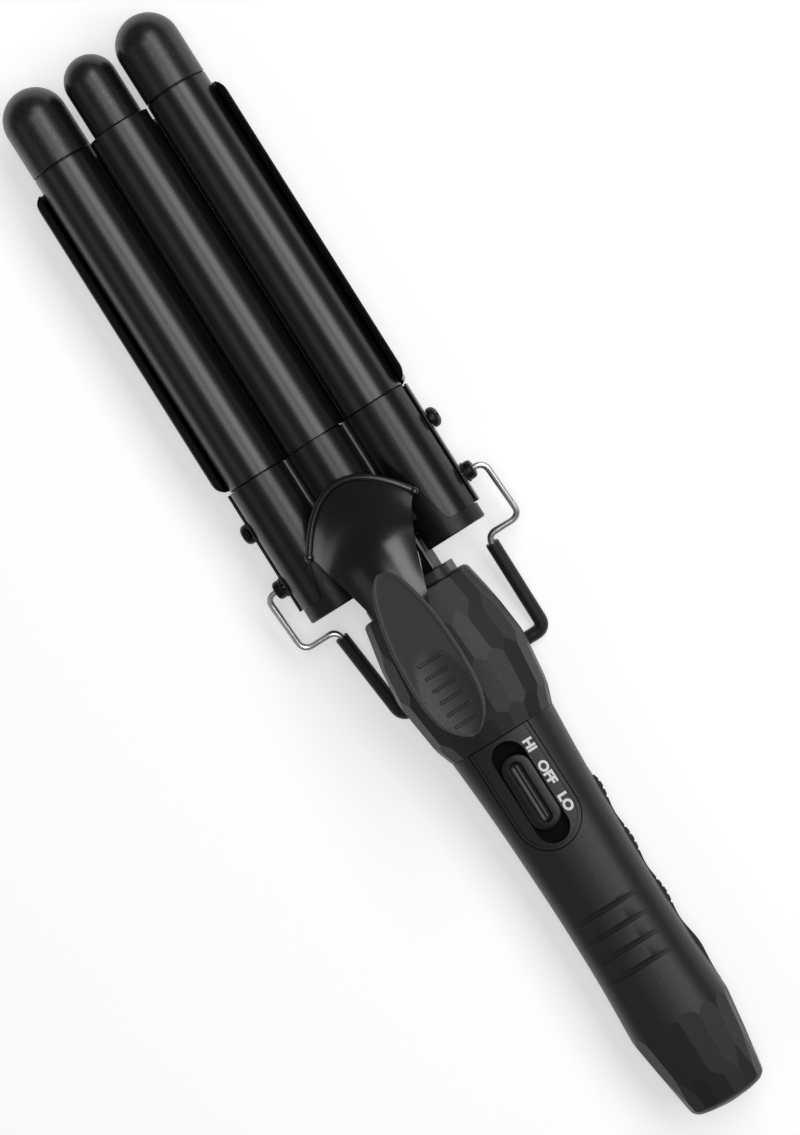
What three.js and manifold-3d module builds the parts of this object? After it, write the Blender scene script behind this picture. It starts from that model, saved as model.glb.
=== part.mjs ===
// Hair waver with three barrels, lying on its back. All sizes are in millimetres.
// Until the last lines X runs from the handle's end to the barrel tips and Y across, and Z is 0 at
// the barrels' axes.
import * as THREE from 'three';
import Module from 'manifold-3d';
import { mergeVertices } from 'three/addons/utils/BufferGeometryUtils.js';

// Fits, and how far a cut runs past the face that it opens
const gap = 0.3;
const slideGap = 0.45;
const jawGap = 0.8;
const past = 1;

// Barrels
const outerBarrelRadius = 9.4;
const middleBarrelRadius = 7.7;
const barrelPitch = 19.2;
const barrelWall = 0.9;
const barrelLength = 103.3;
const outerTipLength = 23.8;
const middleTipLength = 22.7;
const tipSpigotLength = 5;
const tipSpigotWall = 1.2;
const tipWall = 2;
const archRadius = 9.8;
const archWall = 0.9;
const archEdgeHeight = 2;

// Wings behind the outer barrels
const wingClearance = 1.2;
const wingWall = 0.8;
const wingTipSetback = 3.1;
const wingLipReach = 31.8;
const wingLipHeight = 3;
const wingLipAngle = 8;
const wingRootAngle = 188;
const wingCornerRadius = 5;
const wingTailLength = 9;
const wingTailHeight = -8.6;

// Jaw housings
const housingLength = 38.3;
const coverLobeRadius = 9.5;
const coverWall = 0.9;
const coverFlare = 0.5;
const coverNotchHalfWidth = 17;
const coverNotchLength = 11.4;
const coverNotchRadius = 2.5;
const webBottom = 3.6;
const webTop = 5.2;
const webInset = 1.6;
const webOutset = 1.4;
const baseRadius = 8.3;
const baseLipRadius = 9.7;
const baseLipLength = 4.4;
const baseReach = 4.7;
const baseNotchHalfWidth = 10.8;
const baseBridgeLength = 6;
const baseBridgeBottom = 4.6;
const baseBridgeTop = 7.4;
const baseBridgeInset = 2;
const baseLeadBore = 4;
const spigotReach = 11;
const housingHalfWidth = 30;
const cheekWall = 0.7;
const cheekHeight = 1.4;
const backWall = 1.6;
const backHalfWidth = 17;
const cheekDepth = 1;
const cheekBend = 7;
const cheekLean = 0.8;
const backLean = 2.5;
const saddleRadius = 10.2;
const frameFloorHeight = -9.3;
const frameColumnHalfWidth = 7.4;
const frameColumnLength = 7;
const columnSetback = 2;

// Neck
const neckGap = 9.8;
const bracketHalfWidth = 9.8;
const bracketWall = 1;
const bracketWallTop = 3.4;
const bracketTuck = 17;
const bracketReach = 10.2;
const bracketScrewSetback = 2.6;
const bracketScrewSpread = 4.6;
const bracketScrewLength = 5;
const pivotSetback = 1.2;
const pivotHeight = -2;
const pivotRadius = 1.5;
const pivotHeadRadius = 2.4;
const pivotHeadLength = 0.6;
const springWireRadius = 0.55;
const springCoilRadius = 3.1;
const springWinds = 7.5;
const springPitch = 1.6;
const springFloorLeg = 7;
const springArmLeg = 25.8;
const springArmLean = 0.42;
const collarLength = 2.8;
const collarPlugLength = 4;
const collarCornerRadius = 4;
const collarHalfWidth = 13.3;
const collarTop = 8.8;
const collarBottom = -10.8;

// Handle
const tailLength = 26.6;
const gripLength = 93.8;
const bulgeLength = 46.5;
const handleWall = 2.2;
const partingHeight = -1;
const gripStart = 30;
const fingerGripLength = 70;
const fingerPitch = 17.3;
const fingerCrest = -17;
const fingerValley = -15;
const fingerGripTop = -5;
const fingerGripFade = 5;
const fingerGripSkin = 0.7;
const fingerGripBack = 1;
const firstCrestShare = 0.7;
const inletRadius = 4;
const bushRadius = 5.6;
const bushHeight = -2;
const bushFlangeWidth = 1.2;
const bushFlangeLength = 1.5;
const wellLength = 40;
const wellHalfWidth = 10.5;
const wellDepth = 1.8;
const wellCentreFromMouth = 25;
const middleScrewFromGrip = 13;
const handleBossRadius = 3;
const screwTipHeight = 4;

// Switch
const plateFromEnd = 85.7;
const plateLength = 34.9;
const plateHalfWidth = 9.6;
const recessMargin = 1.2;
const recessHalfWidth = 5;
const plateSag = 1.1;
const sliderLength = 23.6;
const sliderTravel = 4.2;
const sliderTop = 10.2;
const sliderSkirtWall = 0.8;
const sliderSkirtOverlap = 1;
const sliderRimEnd = 1.5;
const sliderRimSide = 1.3;
const sliderTroughDepth = 1.4;
const sliderRidge = 3;
const sliderStemHalf = 2;
const sliderStemHalfWidth = 1.2;
const stemLength = 2.6;
const switchBodyLength = 26;
const switchBodyHalfWidth = 4.5;
const boardLength = 98;
const boardHalfWidth = 8.5;
const boardWall = 1.6;
const boardHeight = -5.4;
const boardSeat = 2.4;
const boardRestWall = 2;
const boardSolder = 0.2;
const capacitorRadius = 3.6;
const capacitorHeight = 5;
const capacitorFromStart = 14;
const relayFromStart = 26;
const relayLength = 14;
const relayHalfWidth = 5;
const relayOffset = -1;
const relayHeight = 6;
const terminalFromEnd = 1;
const terminalLength = 4;
const terminalHalfWidth = 6.5;
const terminalHeight = 3;

// Leads
const leadRadius = 0.8;
const leadSpread = 5.6;
const leadNeckSpread = 1.4;
const leadBoardRise = 1.5;
const leadDrop = 2.5;
const leadDropStart = 35;
const leadDropEnd = 22;
const leadMouthSetback = 6;
const leadClimb = 5;

// Lever
const armWall = 1.2;
const armFrontHalfWidth = 17.9;
const armNeckHalfWidth = 8.3;
const armReach = 25.2;
const armEdgeSweep = 13.5;
const armFrontHeight = 11.7;
const armNeckHeight = 28.4;
const stripHalfWidth = 5;
const stripLength = 32;
const stripSlope = 0.17;
const stripEdgeDrop = 0.3;
const stripTaper = 3.3;
const armScrewSpread = 3.6;
const earSpacing = 7;
const earWall = 1.1;
const earRadius = 4.4;
const padLength = 51;
const padHalfWidth = 8.9;
const padWall = 3;
const padOverlap = 10.1;
const padFrontHeight = 30.2;
const padBackHeight = 36;
const padDish = 0.9;
const padRimShare = 0.86;
const padEdgeDrop = 0.8;
const padUnderEdge = 0.9;
const padScrewLength = 3.2;
const padRearScrew = 14;
const padFrontScrew = 30;

// Stand
const standPivotFromSeam = 29.9;
const standPivotHeight = -1.2;
const wireRadius = 1.1;
const sleeveRadius = 2;
const standArmOffset = 6.6;
const standKneeDrop = 19;
const standLegTopHalfWidth = 25.4;
const standLegFootHalfWidth = 24.1;
const standReach = 48.8;
const standBend = 3.2;
const standFootHeight = -15;
const sleeveStart = 2.4;
const bossRadius = 3;
const bossClearance = 0.1;
const upperScrewFromSeam = 12;

// Screws
const screwRadius = 1.3;
const screwHeadRadius = 3;
const screwHeadLength = 2.6;
const sideScrewLength = 2.3;
const screwTabHalf = 2.9;
const screwTabDepth = 6;
const smallScrewRadius = 1;
const smallHeadRadius = 1.9;
const smallHeadLength = 1.1;

// Heaters
const heaterLength = 78;
const heaterSetback = 2;
const heaterPlateHalf = 1.8;
const heaterPlateShare = 0.75;

// Rest
const floorDrop = 17;

// Places along the length that follow from the sizes above
const handleLength = tailLength + gripLength + bulgeLength;
const collarEnd = handleLength + gap + collarLength;
const housingStart = collarEnd + neckGap;
const seam = housingStart + housingLength;
const barrelStart = seam + gap;
const barrelEnd = barrelStart + barrelLength;
const overallLength = barrelEnd + outerTipLength;
const pivotAlong = housingStart + pivotSetback;
const bracketStart = handleLength - handleWall - collarPlugLength - bracketTuck / 2;
const standAlong = seam - standPivotFromSeam;
const boardStart = tailLength - boardSeat;
const standArmReach = housingHalfWidth + standArmOffset;
const bossLength = standArmOffset - standBend - bossClearance - gap;
const bracketFloorTop = frameFloorHeight + gap + bracketWall;
const heaterStart = barrelStart + spigotReach + heaterSetback;
const far = 2 * overallLength;
const sides = { left: 1, right: -1 };

// Facets and steps of the round pieces, and how square the handle's section is
const roundFacets = 28;
const screwFacets = 12;
const rearSteps = 8;
const domeSteps = 5;
const wireSteps = 64;
const springSteps = 74;
const handleFacets = 24;
const handleRoundness = 2.3;

// Materials
const finish = (color, roughness, metalness) => (
  new THREE.MeshStandardMaterial({ color, roughness, metalness })
);
const handlePlastic = finish(0x232324, 0.62, 0);
const gripRubber = finish(0x1d1d1e, 0.8, 0);
const coverPlastic = finish(0x1b1b1c, 0.38, 0);
const basePlastic = finish(0x242425, 0.6, 0);
const coatedBarrel = finish(0x18181a, 0.32, 0.4);
const glossBlack = finish(0x101011, 0.16, 0);
const blackSteel = finish(0x141416, 0.2, 0.6);
const brightSteel = finish(0xc9cbcd, 0.2, 1);
const sleeveRubber = finish(0x161617, 0.7, 0);
const heaterCeramic = finish(0xe6e2d8, 0.6, 0);
const boardLaminate = finish(0x1f5a36, 0.5, 0);
const leadSilicone = finish(0x8f2a22, 0.5, 0);

const wasm = await Module();
wasm.setup();

// Signed volume of a closed geometry, negative where its faces point inwards.
function signedVolume(geometry) {
  const at = geometry.getAttribute('position');
  const [a, b, c] = [new THREE.Vector3(), new THREE.Vector3(), new THREE.Vector3()];
  let sum = 0;
  for (let i = 0; i < at.count; i += 3) {
    a.fromBufferAttribute(at, i);
    b.fromBufferAttribute(at, i + 1);
    c.fromBufferAttribute(at, i + 2);
    sum += a.dot(b.cross(c)) / 6;
  }
  return sum;
}

// A closed geometry as a solid that can be joined and cut.
function solidOf(geometry) {
  const loose = geometry.index ? geometry.toNonIndexed() : geometry.clone();
  const bare = new THREE.BufferGeometry().setAttribute('position', loose.getAttribute('position'));
  const inward = signedVolume(bare) < 0;
  const merged = mergeVertices(bare, 1e-4);
  const triVerts = new Uint32Array(merged.index.array);
  if (inward) triVerts.reverse();
  return new wasm.Manifold(new wasm.Mesh({
    numProp: 3, vertProperties: merged.getAttribute('position').array, triVerts,
  }));
}

function geometryOf(solid) {
  const { vertProperties, triVerts } = solid.getMesh();
  const geometry = new THREE.BufferGeometry();
  geometry.setAttribute('position', new THREE.BufferAttribute(vertProperties, 3));
  geometry.setIndex(new THREE.BufferAttribute(triVerts, 1));
  geometry.computeVertexNormals();
  return geometry;
}

function piece(name, solid, material) {
  const mesh = new THREE.Mesh(geometryOf(solid), material);
  mesh.name = name;
  return mesh;
}

function block(x0, x1, y0, y1, z0, z1) {
  const geometry = new THREE.BoxGeometry(x1 - x0, y1 - y0, z1 - z0);
  geometry.translate((x0 + x1) / 2, (y0 + y1) / 2, (z0 + z1) / 2);
  return solidOf(geometry);
}

// A round bar along X, Y or Z.
function bar(axis, radius, from, to, at, segments = 32) {
  const geometry = new THREE.CylinderGeometry(radius, radius, to - from, segments);
  geometry.translate(0, (from + to) / 2, 0);
  if (axis === 'x') geometry.rotateZ(-Math.PI / 2);
  if (axis === 'z') geometry.rotateX(Math.PI / 2);
  geometry.translate(at.x ?? 0, at.y ?? 0, at.z ?? 0);
  return solidOf(geometry);
}

// A turned piece: profile of [radius, along] pairs about a line in X, or in Y towards a side.
function turned(profile, { axis = 'x', side = 1, x = 0, y = 0, z = 0, segments = 32 } = {}) {
  const points = profile.map(([radius, along]) => new THREE.Vector2(radius, along));
  const geometry = new THREE.LatheGeometry(points, segments);
  if (axis === 'x') geometry.rotateZ(-Math.PI / 2);
  if (axis === 'y' && side < 0) geometry.rotateX(Math.PI);
  if (axis === 'z') geometry.rotateX(side * Math.PI / 2);
  geometry.translate(x, y, z);
  return solidOf(geometry);
}

// A plan outline in X and Y, raised from one height to another.
function raised(shape, z0, z1, curveSegments = 8) {
  const geometry = new THREE.ExtrudeGeometry(shape, { depth: z1 - z0, bevelEnabled: false, curveSegments });
  geometry.translate(0, 0, z0);
  return solidOf(geometry);
}

// A section outline in Y and Z, drawn along X.
function drawn(shape, x0, x1, curveSegments = 8) {
  const geometry = new THREE.ExtrudeGeometry(shape, { depth: x1 - x0, bevelEnabled: false, curveSegments });
  geometry.applyMatrix4(new THREE.Matrix4().makeBasis(
    new THREE.Vector3(0, 1, 0), new THREE.Vector3(0, 0, 1), new THREE.Vector3(1, 0, 0),
  ));
  geometry.translate(x0, 0, 0);
  return solidOf(geometry);
}

// A closed skin through rings of points, each ring with as many points, and a flat cap at both ends.
function loft(rings) {
  const count = rings[0].length;
  const points = rings.flat();
  const index = [];
  for (let r = 0; r + 1 < rings.length; r += 1) {
    for (let i = 0; i < count; i += 1) {
      const a = r * count + i;
      const b = r * count + (i + 1) % count;
      index.push(a, b, a + count, b, b + count, a + count);
    }
  }
  const section = (ring) => ring.map((p) => new THREE.Vector2(p.y, p.z));
  const cap = (ring) => THREE.ShapeUtils.triangulateShape(section(ring), []);
  const last = (rings.length - 1) * count;
  const clockwise = THREE.ShapeUtils.area(section(rings[0])) < 0;
  for (const [a, b, c] of cap(rings[0])) index.push(...(clockwise ? [a, b, c] : [a, c, b]));
  for (const corners of cap(rings.at(-1))) {
    const [a, b, c] = corners.map((corner) => last + corner);
    index.push(...(clockwise ? [a, c, b] : [a, b, c]));
  }
  if (clockwise) index.reverse();
  const geometry = new THREE.BufferGeometry().setFromPoints(points);
  geometry.setIndex(index);
  return solidOf(geometry);
}

// A round tube along a curve, closed at both ends.
function tube(curve, radius, steps, facets = 8) {
  const section = new THREE.Shape(Array.from({ length: facets }, (_, i) => {
    const turn = (i / facets) * 2 * Math.PI;
    return new THREE.Vector2(radius * Math.cos(turn), radius * Math.sin(turn));
  }));
  return solidOf(new THREE.ExtrudeGeometry(section, { steps, extrudePath: curve, bevelEnabled: false }));
}

// A round-headed screw: its head seat at the given place, its head on the positive side of the line.
function screw(radius, headRadius, headLength, length, place) {
  const profile = [
    [0, -length], [radius, -length], [radius, 0], [headRadius, 0],
    [headRadius, headLength * 0.5], [headRadius * 0.75, headLength * 0.9], [0, headLength],
  ];
  return turned(profile, { segments: screwFacets, ...place });
}

// Handle: stations of [share of the zone, half width, front height, rear height]
const tailStations = [
  [0, 10.4, 7.4, -11.4], [0.08, 11.6, 8.6, -12.6], [0.42, 13.3, 10.2, -14], [0.7, 14.5, 11, -14.6],
  [1, 15.4, 11.3, -14.8],
];
const gripStations = [
  [0.25, 14.4, 10.5, -13.6], [0.4, 14.3, 10.1, -13.2], [0.67, 14.8, 10, -13], [0.85, 15.5, 10.4, -12.8],
  [1, 16.4, 11.2, -12.5],
];
const bulgeStations = [
  [0.12, 18.5, 12.4, -12.5], [0.24, 19.5, 13.1, -12.5], [0.5, 20.6, 14, -12.5], [0.66, 20, 13.8, -12.5],
  [0.85, 18.3, 12.9, -12.4], [0.96, 17.2, 12.2, -12], [1, 16.4, 11.4, -11.6],
];
const station = (start, length) => ([share, half, front, rear]) => (
  { along: start + share * length, half, front, rear }
);
const stations = [
  ...tailStations.map(station(0, tailLength)),
  ...gripStations.map(station(tailLength, gripLength)),
  ...bulgeStations.map(station(tailLength + gripLength, bulgeLength)),
];

function outlineAt(along) {
  const next = Math.max(1, stations.findIndex((s) => s.along >= along));
  const [a, b] = [stations[next - 1], stations[next]];
  const share = (along - a.along) / (b.along - a.along);
  const mix = (key) => THREE.MathUtils.lerp(a[key], b[key], share);
  return { along, half: mix('half'), front: mix('front'), rear: mix('rear') };
}

// One ring of the handle's skin, set in by a wall.
function handleRing({ along, half, front, rear }, inset = 0, facets = handleFacets) {
  const round = (value) => Math.sign(value) * Math.abs(value) ** (2 / handleRoundness);
  return Array.from({ length: facets }, (_, i) => {
    const turn = (i / facets) * 2 * Math.PI;
    const height = Math.sin(turn) >= 0 ? front - partingHeight - inset : partingHeight - rear - inset;
    const across = (half - inset) * round(Math.cos(turn));
    return new THREE.Vector3(along, across, partingHeight + height * round(Math.sin(turn)));
  });
}

const handleSkin = (inset) => loft(stations.map((s) => handleRing(s, inset)));
const handleCavity = () => {
  const start = handleWall;
  const end = handleLength - handleWall;
  const inner = stations.filter((s) => s.along > start && s.along < end);
  const through = [outlineAt(start), ...inner, outlineAt(end)];
  return loft(through.map((s) => handleRing(s, handleWall, handleFacets / 2)));
};

function ovalSection(halfWidth, top, bottom, radius) {
  const shape = new THREE.Shape();
  shape.moveTo(-halfWidth + radius, bottom);
  shape.lineTo(halfWidth - radius, bottom);
  shape.absarc(halfWidth - radius, bottom + radius, radius, -Math.PI / 2, 0);
  shape.lineTo(halfWidth, top - radius);
  shape.absarc(halfWidth - radius, top - radius, radius, 0, Math.PI / 2);
  shape.lineTo(-halfWidth + radius, top);
  shape.absarc(-halfWidth + radius, top - radius, radius, Math.PI / 2, Math.PI);
  shape.lineTo(-halfWidth, bottom + radius);
  shape.absarc(-halfWidth + radius, bottom + radius, radius, Math.PI, 1.5 * Math.PI);
  return shape;
}

// Switch outlines in plan: the plate is square towards the jaws and round towards the handle's end.
const plateEnd = plateFromEnd + plateLength;
const recessStart = plateFromEnd + recessMargin + gap;
const recessEnd = plateEnd - recessMargin;
const sliderMiddle = (recessStart + recessEnd) / 2;

function plateShape(grow) {
  const half = plateHalfWidth + grow;
  const shape = new THREE.Shape();
  shape.moveTo(plateEnd + grow, -half);
  shape.lineTo(plateEnd + grow, half);
  shape.lineTo(plateFromEnd + plateHalfWidth, half);
  shape.absarc(plateFromEnd + plateHalfWidth, 0, half, Math.PI / 2, 1.5 * Math.PI);
  return shape;
}

function stadiumShape(start, end, half) {
  const shape = new THREE.Shape();
  shape.moveTo(start + half, -half);
  shape.lineTo(end - half, -half);
  shape.absarc(end - half, 0, half, -Math.PI / 2, Math.PI / 2);
  shape.lineTo(start + half, half);
  shape.absarc(start + half, 0, half, Math.PI / 2, 1.5 * Math.PI);
  return shape;
}

const screwPlaces = {
  rear: tailLength / 2,
  middle: tailLength + gripLength + middleScrewFromGrip,
  front: handleLength - bracketTuck / 2,
};

// Room for a screw that comes up from the rear: its shank, and its head sunk in the rear shell
function screwRoom(along, top) {
  const headTop = outlineAt(along).rear + smallHeadLength + gap;
  return bar('z', screwRadius + gap, -far, top, { x: along }, screwFacets)
    .add(bar('z', smallHeadRadius + gap, -far, headTop, { x: along }, screwFacets));
}

// Room for the neck bracket, from a place on and up to a height
function bracketRoom(start, top) {
  const half = bracketHalfWidth + gap;
  return block(start, far, -half, half, frameFloorHeight, top);
}

function handleShells() {
  const hollow = handleSkin(0).subtract(handleCavity());
  const within = handleSkin(handleWall / 2);
  const mouth = drawn(
    ovalSection(collarHalfWidth + gap, collarTop + gap, collarBottom - gap, collarCornerRadius),
    handleLength - 2 * handleWall, handleLength + past,
  );
  const inlet = bar('x', bushRadius + gap, -past, handleWall + past, { z: bushHeight });
  const ends = mouth.add(inlet);
  const split = partingHeight;
  let front = hollow.intersect(block(-past, far, -far, far, split + gap / 2, far)).subtract(ends);
  let rear = hollow.intersect(block(-past, far, -far, far, -far, split - gap / 2)).subtract(ends);
  // Seat of the neck bracket, and the two rests of the control board
  const seatEnd = handleLength - handleWall - collarPlugLength;
  const seatHalf = bracketHalfWidth - bracketWall;
  const seat = block(seatEnd - bracketTuck / 2, seatEnd, -seatHalf, seatHalf, -far, frameFloorHeight);
  rear = rear.add(seat.intersect(within));
  for (const along of [boardStart + boardSeat, boardStart + boardLength - boardSeat]) {
    const start = along - boardRestWall / 2;
    const half = boardHalfWidth;
    const rest = block(start, start + boardRestWall, -half, half, -far, boardHeight - gap);
    rear = rear.add(rest.intersect(within));
  }
  // Bosses and holes of the screws that hold the two shells together
  for (const along of Object.values(screwPlaces)) {
    const boss = bar('z', handleBossRadius, split + gap / 2, far, { x: along }, screwFacets);
    front = front.add(boss.intersect(within)).subtract(screwRoom(along, screwTipHeight + gap));
    rear = rear.subtract(screwRoom(along, 0));
  }
  rear = rear.subtract(bracketRoom(bracketStart - gap, bracketWallTop + gap));
  // Window of the switch plate, and the thumb well
  front = front.subtract(raised(plateShape(gap), 0, far, 10));
  front = front.subtract(thumbWell());
  const plate = hollow.intersect(raised(plateShape(0), 0, far, 10))
    .subtract(raised(stadiumShape(recessStart, recessEnd, recessHalfWidth), 0, far));
  return { front, rear, plate };
}

// A shallow oval hollow that the thumb pad sinks towards.
function thumbWell() {
  const along = handleLength - wellCentreFromMouth;
  const bowl = new THREE.SphereGeometry(1, 20, 12);
  bowl.rotateX(Math.PI / 2);
  bowl.scale(wellLength / 2, wellHalfWidth, wellHalfWidth);
  bowl.translate(along, 0, outlineAt(along).front - wellDepth + wellHalfWidth);
  return solidOf(bowl);
}

// Ribbed grip on the rear, with a crest between each two fingers.
function fingerGrip() {
  const steps = 20;
  const rings = [];
  for (let i = 0; i <= steps; i += 1) {
    const along = gripStart + (i / steps) * fingerGripLength;
    const core = outlineAt(along);
    const wave = Math.cos(((along - gripStart) / fingerPitch - firstCrestShare) * 2 * Math.PI);
    const full = THREE.MathUtils.lerp(fingerValley, fingerCrest, (wave + 1) / 2);
    const ends = Math.min(along - gripStart, gripStart + fingerGripLength - along) / fingerGripFade;
    const shown = THREE.MathUtils.smoothstep(ends, 0, 1);
    const rear = THREE.MathUtils.lerp(core.rear - fingerGripBack, full, shown);
    rings.push(handleRing({ ...core, half: core.half + fingerGripSkin, rear }));
  }
  const below = block(0, far, -far, far, -far, fingerGripTop);
  return loft(rings).intersect(below).subtract(handleSkin(-gap));
}

function cordBush() {
  const flange = bushRadius + bushFlangeWidth;
  const seat = handleWall + gap;
  const end = seat + bushFlangeLength;
  const profile = [
    [inletRadius, 0], [bushRadius, 0], [bushRadius, seat], [flange, seat], [flange, end], [inletRadius, end],
    [inletRadius, 0],
  ];
  return turned(profile, { z: bushHeight });
}

function collar() {
  const outline = ovalSection(collarHalfWidth, collarTop, collarBottom, collarCornerRadius);
  const body = drawn(outline, handleLength - collarPlugLength, collarEnd);
  return body.subtract(bracketRoom(0, bracketWallTop + gap));
}

function slider() {
  const start = sliderMiddle - sliderLength / 2;
  const end = sliderMiddle + sliderLength / 2;
  const half = recessHalfWidth - gap;
  const skirtTop = outlineAt(sliderMiddle).front - handleWall - slideGap - plateSag;
  const skirtReach = (recessEnd - recessStart) / 2 + sliderTravel + sliderSkirtOverlap;
  const skirtHalf = half + sliderSkirtOverlap;
  const skirt = block(
    sliderMiddle - skirtReach, sliderMiddle + skirtReach, -skirtHalf, skirtHalf,
    skirtTop - sliderSkirtWall, skirtTop,
  );
  const button = raised(stadiumShape(start, end, half), skirtTop - sliderSkirtWall / 2, sliderTop, 12);
  const troughShape = stadiumShape(start + sliderRimEnd, end - sliderRimEnd, half - sliderRimSide);
  const trough = raised(troughShape, sliderTop - sliderTroughDepth, far, 12);
  const ridge = block(
    sliderMiddle - sliderRidge, sliderMiddle + sliderRidge, -half, half,
    skirtTop - sliderSkirtWall / 2, sliderTop - sliderTroughDepth / 2,
  );
  const stem = block(
    sliderMiddle - sliderStemHalf, sliderMiddle + sliderStemHalf, -sliderStemHalfWidth, sliderStemHalfWidth,
    skirtTop - sliderSkirtWall - stemLength, skirtTop,
  );
  return button.subtract(trough).add(ridge).add(skirt).add(stem);
}

function switchBody() {
  const top = outlineAt(sliderMiddle).front - handleWall - slideGap - plateSag - sliderSkirtWall - gap;
  const body = block(
    sliderMiddle - switchBodyLength / 2, sliderMiddle + switchBodyLength / 2,
    -switchBodyHalfWidth, switchBodyHalfWidth, boardHeight + boardWall + gap, top,
  );
  const slot = block(
    sliderMiddle - sliderStemHalf - sliderTravel - gap, sliderMiddle + sliderStemHalf + sliderTravel + gap,
    -sliderStemHalfWidth - gap, sliderStemHalfWidth + gap, top - stemLength, far,
  );
  return body.subtract(slot);
}

// Board with its capacitor, relay and the two terminals that the leads leave from
function controlBoard() {
  const top = boardHeight + boardWall;
  const end = boardStart + boardLength;
  const base = top - boardSolder;
  const relayStart = boardStart + relayFromStart;
  const terminalEnd = end - terminalFromEnd;
  const capacitorAt = { x: boardStart + capacitorFromStart };
  return block(boardStart, end, -boardHalfWidth, boardHalfWidth, boardHeight, top)
    .add(bar('z', capacitorRadius, base, top + capacitorHeight, capacitorAt, screwFacets))
    .add(block(
      relayStart, relayStart + relayLength, relayOffset - relayHalfWidth, relayOffset + relayHalfWidth,
      base, top + relayHeight,
    ))
    .add(block(
      terminalEnd - terminalLength, terminalEnd, -terminalHalfWidth, terminalHalfWidth,
      base, top + terminalHeight,
    ));
}

// Neck: a U-shaped sheet channel from the handle to the rear jaw, with the pivot of the front jaw.
const bracketScrewAlong = housingStart + bracketReach - bracketScrewSetback;

// Holes of the two screws that hold the channel to the rear frame
function bracketScrewRoom(bottom) {
  const hole = (y) => bar('z', smallScrewRadius + gap, bottom, 0, { x: bracketScrewAlong, y }, screwFacets);
  return hole(bracketScrewSpread).add(hole(-bracketScrewSpread));
}

function neckBracket() {
  const end = housingStart + bracketReach;
  const half = bracketHalfWidth;
  const inner = half - bracketWall;
  return block(bracketStart, end, -half, half, bracketFloorTop - bracketWall, bracketWallTop)
    .subtract(block(0, far, -inner, inner, bracketFloorTop, far))
    .subtract(bar('y', pivotRadius + gap, -far, far, { x: pivotAlong, z: pivotHeight }, screwFacets))
    .subtract(bar('z', screwRadius + gap, -far, 0, { x: screwPlaces.front }, screwFacets))
    .subtract(bracketScrewRoom(-far));
}

function pivotPin() {
  const reach = bracketHalfWidth + gap;
  const profile = [
    [0, -reach - pivotHeadLength], [pivotHeadRadius, -reach - pivotHeadLength], [pivotHeadRadius, -reach],
    [pivotRadius, -reach], [pivotRadius, reach], [pivotHeadRadius, reach],
    [pivotHeadRadius, reach + pivotHeadLength], [0, reach + pivotHeadLength],
  ];
  return turned(profile, { axis: 'y', x: pivotAlong, z: pivotHeight, segments: 16 });
}

// Wire coil round the pivot pin, one leg on the channel's floor and one under the lever arm.
class SpringPath extends THREE.Curve {
  getPoint(share, target = new THREE.Vector3()) {
    const coil = springWinds * 2 * Math.PI * springCoilRadius;
    const run = share * (coil + springFloorLeg + springArmLeg);
    const onCoil = THREE.MathUtils.clamp(run - springFloorLeg, 0, coil);
    const turn = onCoil / springCoilRadius - Math.PI / 2;
    const across = (onCoil / coil - 0.5) * springWinds * springPitch;
    const before = Math.max(0, springFloorLeg - run);
    const after = Math.max(0, run - springFloorLeg - coil);
    const drop = (bracketFloorTop + gap + springWireRadius - pivotHeight + springCoilRadius) / springFloorLeg;
    const climb = Math.sqrt(1 - springArmLean ** 2);
    return target.set(
      pivotAlong + springCoilRadius * Math.cos(turn) - before - after * springArmLean,
      across,
      pivotHeight + springCoilRadius * Math.sin(turn) + before * drop + after * climb,
    );
  }
}

// Least gap of the spring's wire to itself, between points more than half a turn apart
function springGap() {
  const perTurn = 24;
  const length = springWinds * 2 * Math.PI * springCoilRadius + springFloorLeg + springArmLeg;
  const count = Math.round((length / (2 * Math.PI * springCoilRadius)) * perTurn);
  const points = new SpringPath().getPoints(count);
  let least = Infinity;
  points.forEach((a, i) => points.slice(i + perTurn / 2).forEach((b) => {
    least = Math.min(least, a.distanceTo(b));
  }));
  return least - 2 * springWireRadius;
}

console.log(`jaw_spring: least gap to itself ${springGap().toFixed(2)} mm`);

// Rear jaw
const lobeSide = (side) => side * barrelPitch;
const saddleReach = saddleRadius + wingWall + jawGap;
const columnStart = housingStart + bracketReach + gap + columnSetback;

// Section of the rear jaw: cheeks that lean in towards the back, round corners and a flat back
function rearOutline(sideInset, backInset, top) {
  const half = housingHalfWidth - sideInset;
  const low = -floorDrop + backInset;
  const flat = backHalfWidth - sideInset;
  const shape = new THREE.Shape();
  shape.moveTo(-half, top);
  shape.lineTo(-half, -cheekDepth);
  shape.bezierCurveTo(-half + cheekLean, -cheekDepth - cheekBend, -half + backLean, low, -flat, low);
  shape.lineTo(flat, low);
  shape.bezierCurveTo(half - backLean, low, half - cheekLean, -cheekDepth - cheekBend, half, -cheekDepth);
  shape.lineTo(half, top);
  return shape;
}

// A hole through both cheeks, for a side screw or an end of the stand's wire
function cheekHole(radius, x) {
  const at = { x, z: standPivotHeight };
  const left = bar('y', radius + gap, barrelPitch, far, at, screwFacets);
  return left.add(bar('y', radius + gap, -far, -barrelPitch, at, screwFacets));
}

// Round room behind both outer barrels, kept between the cheeks
function troughRoom(radius, start, halfWidth) {
  const left = bar('x', radius, start, far, { y: barrelPitch }, roundFacets);
  const both = left.add(bar('x', radius, start, far, { y: -barrelPitch }, roundFacets));
  return both.intersect(block(-past, far, -halfWidth, halfWidth, -far, far));
}

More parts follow.
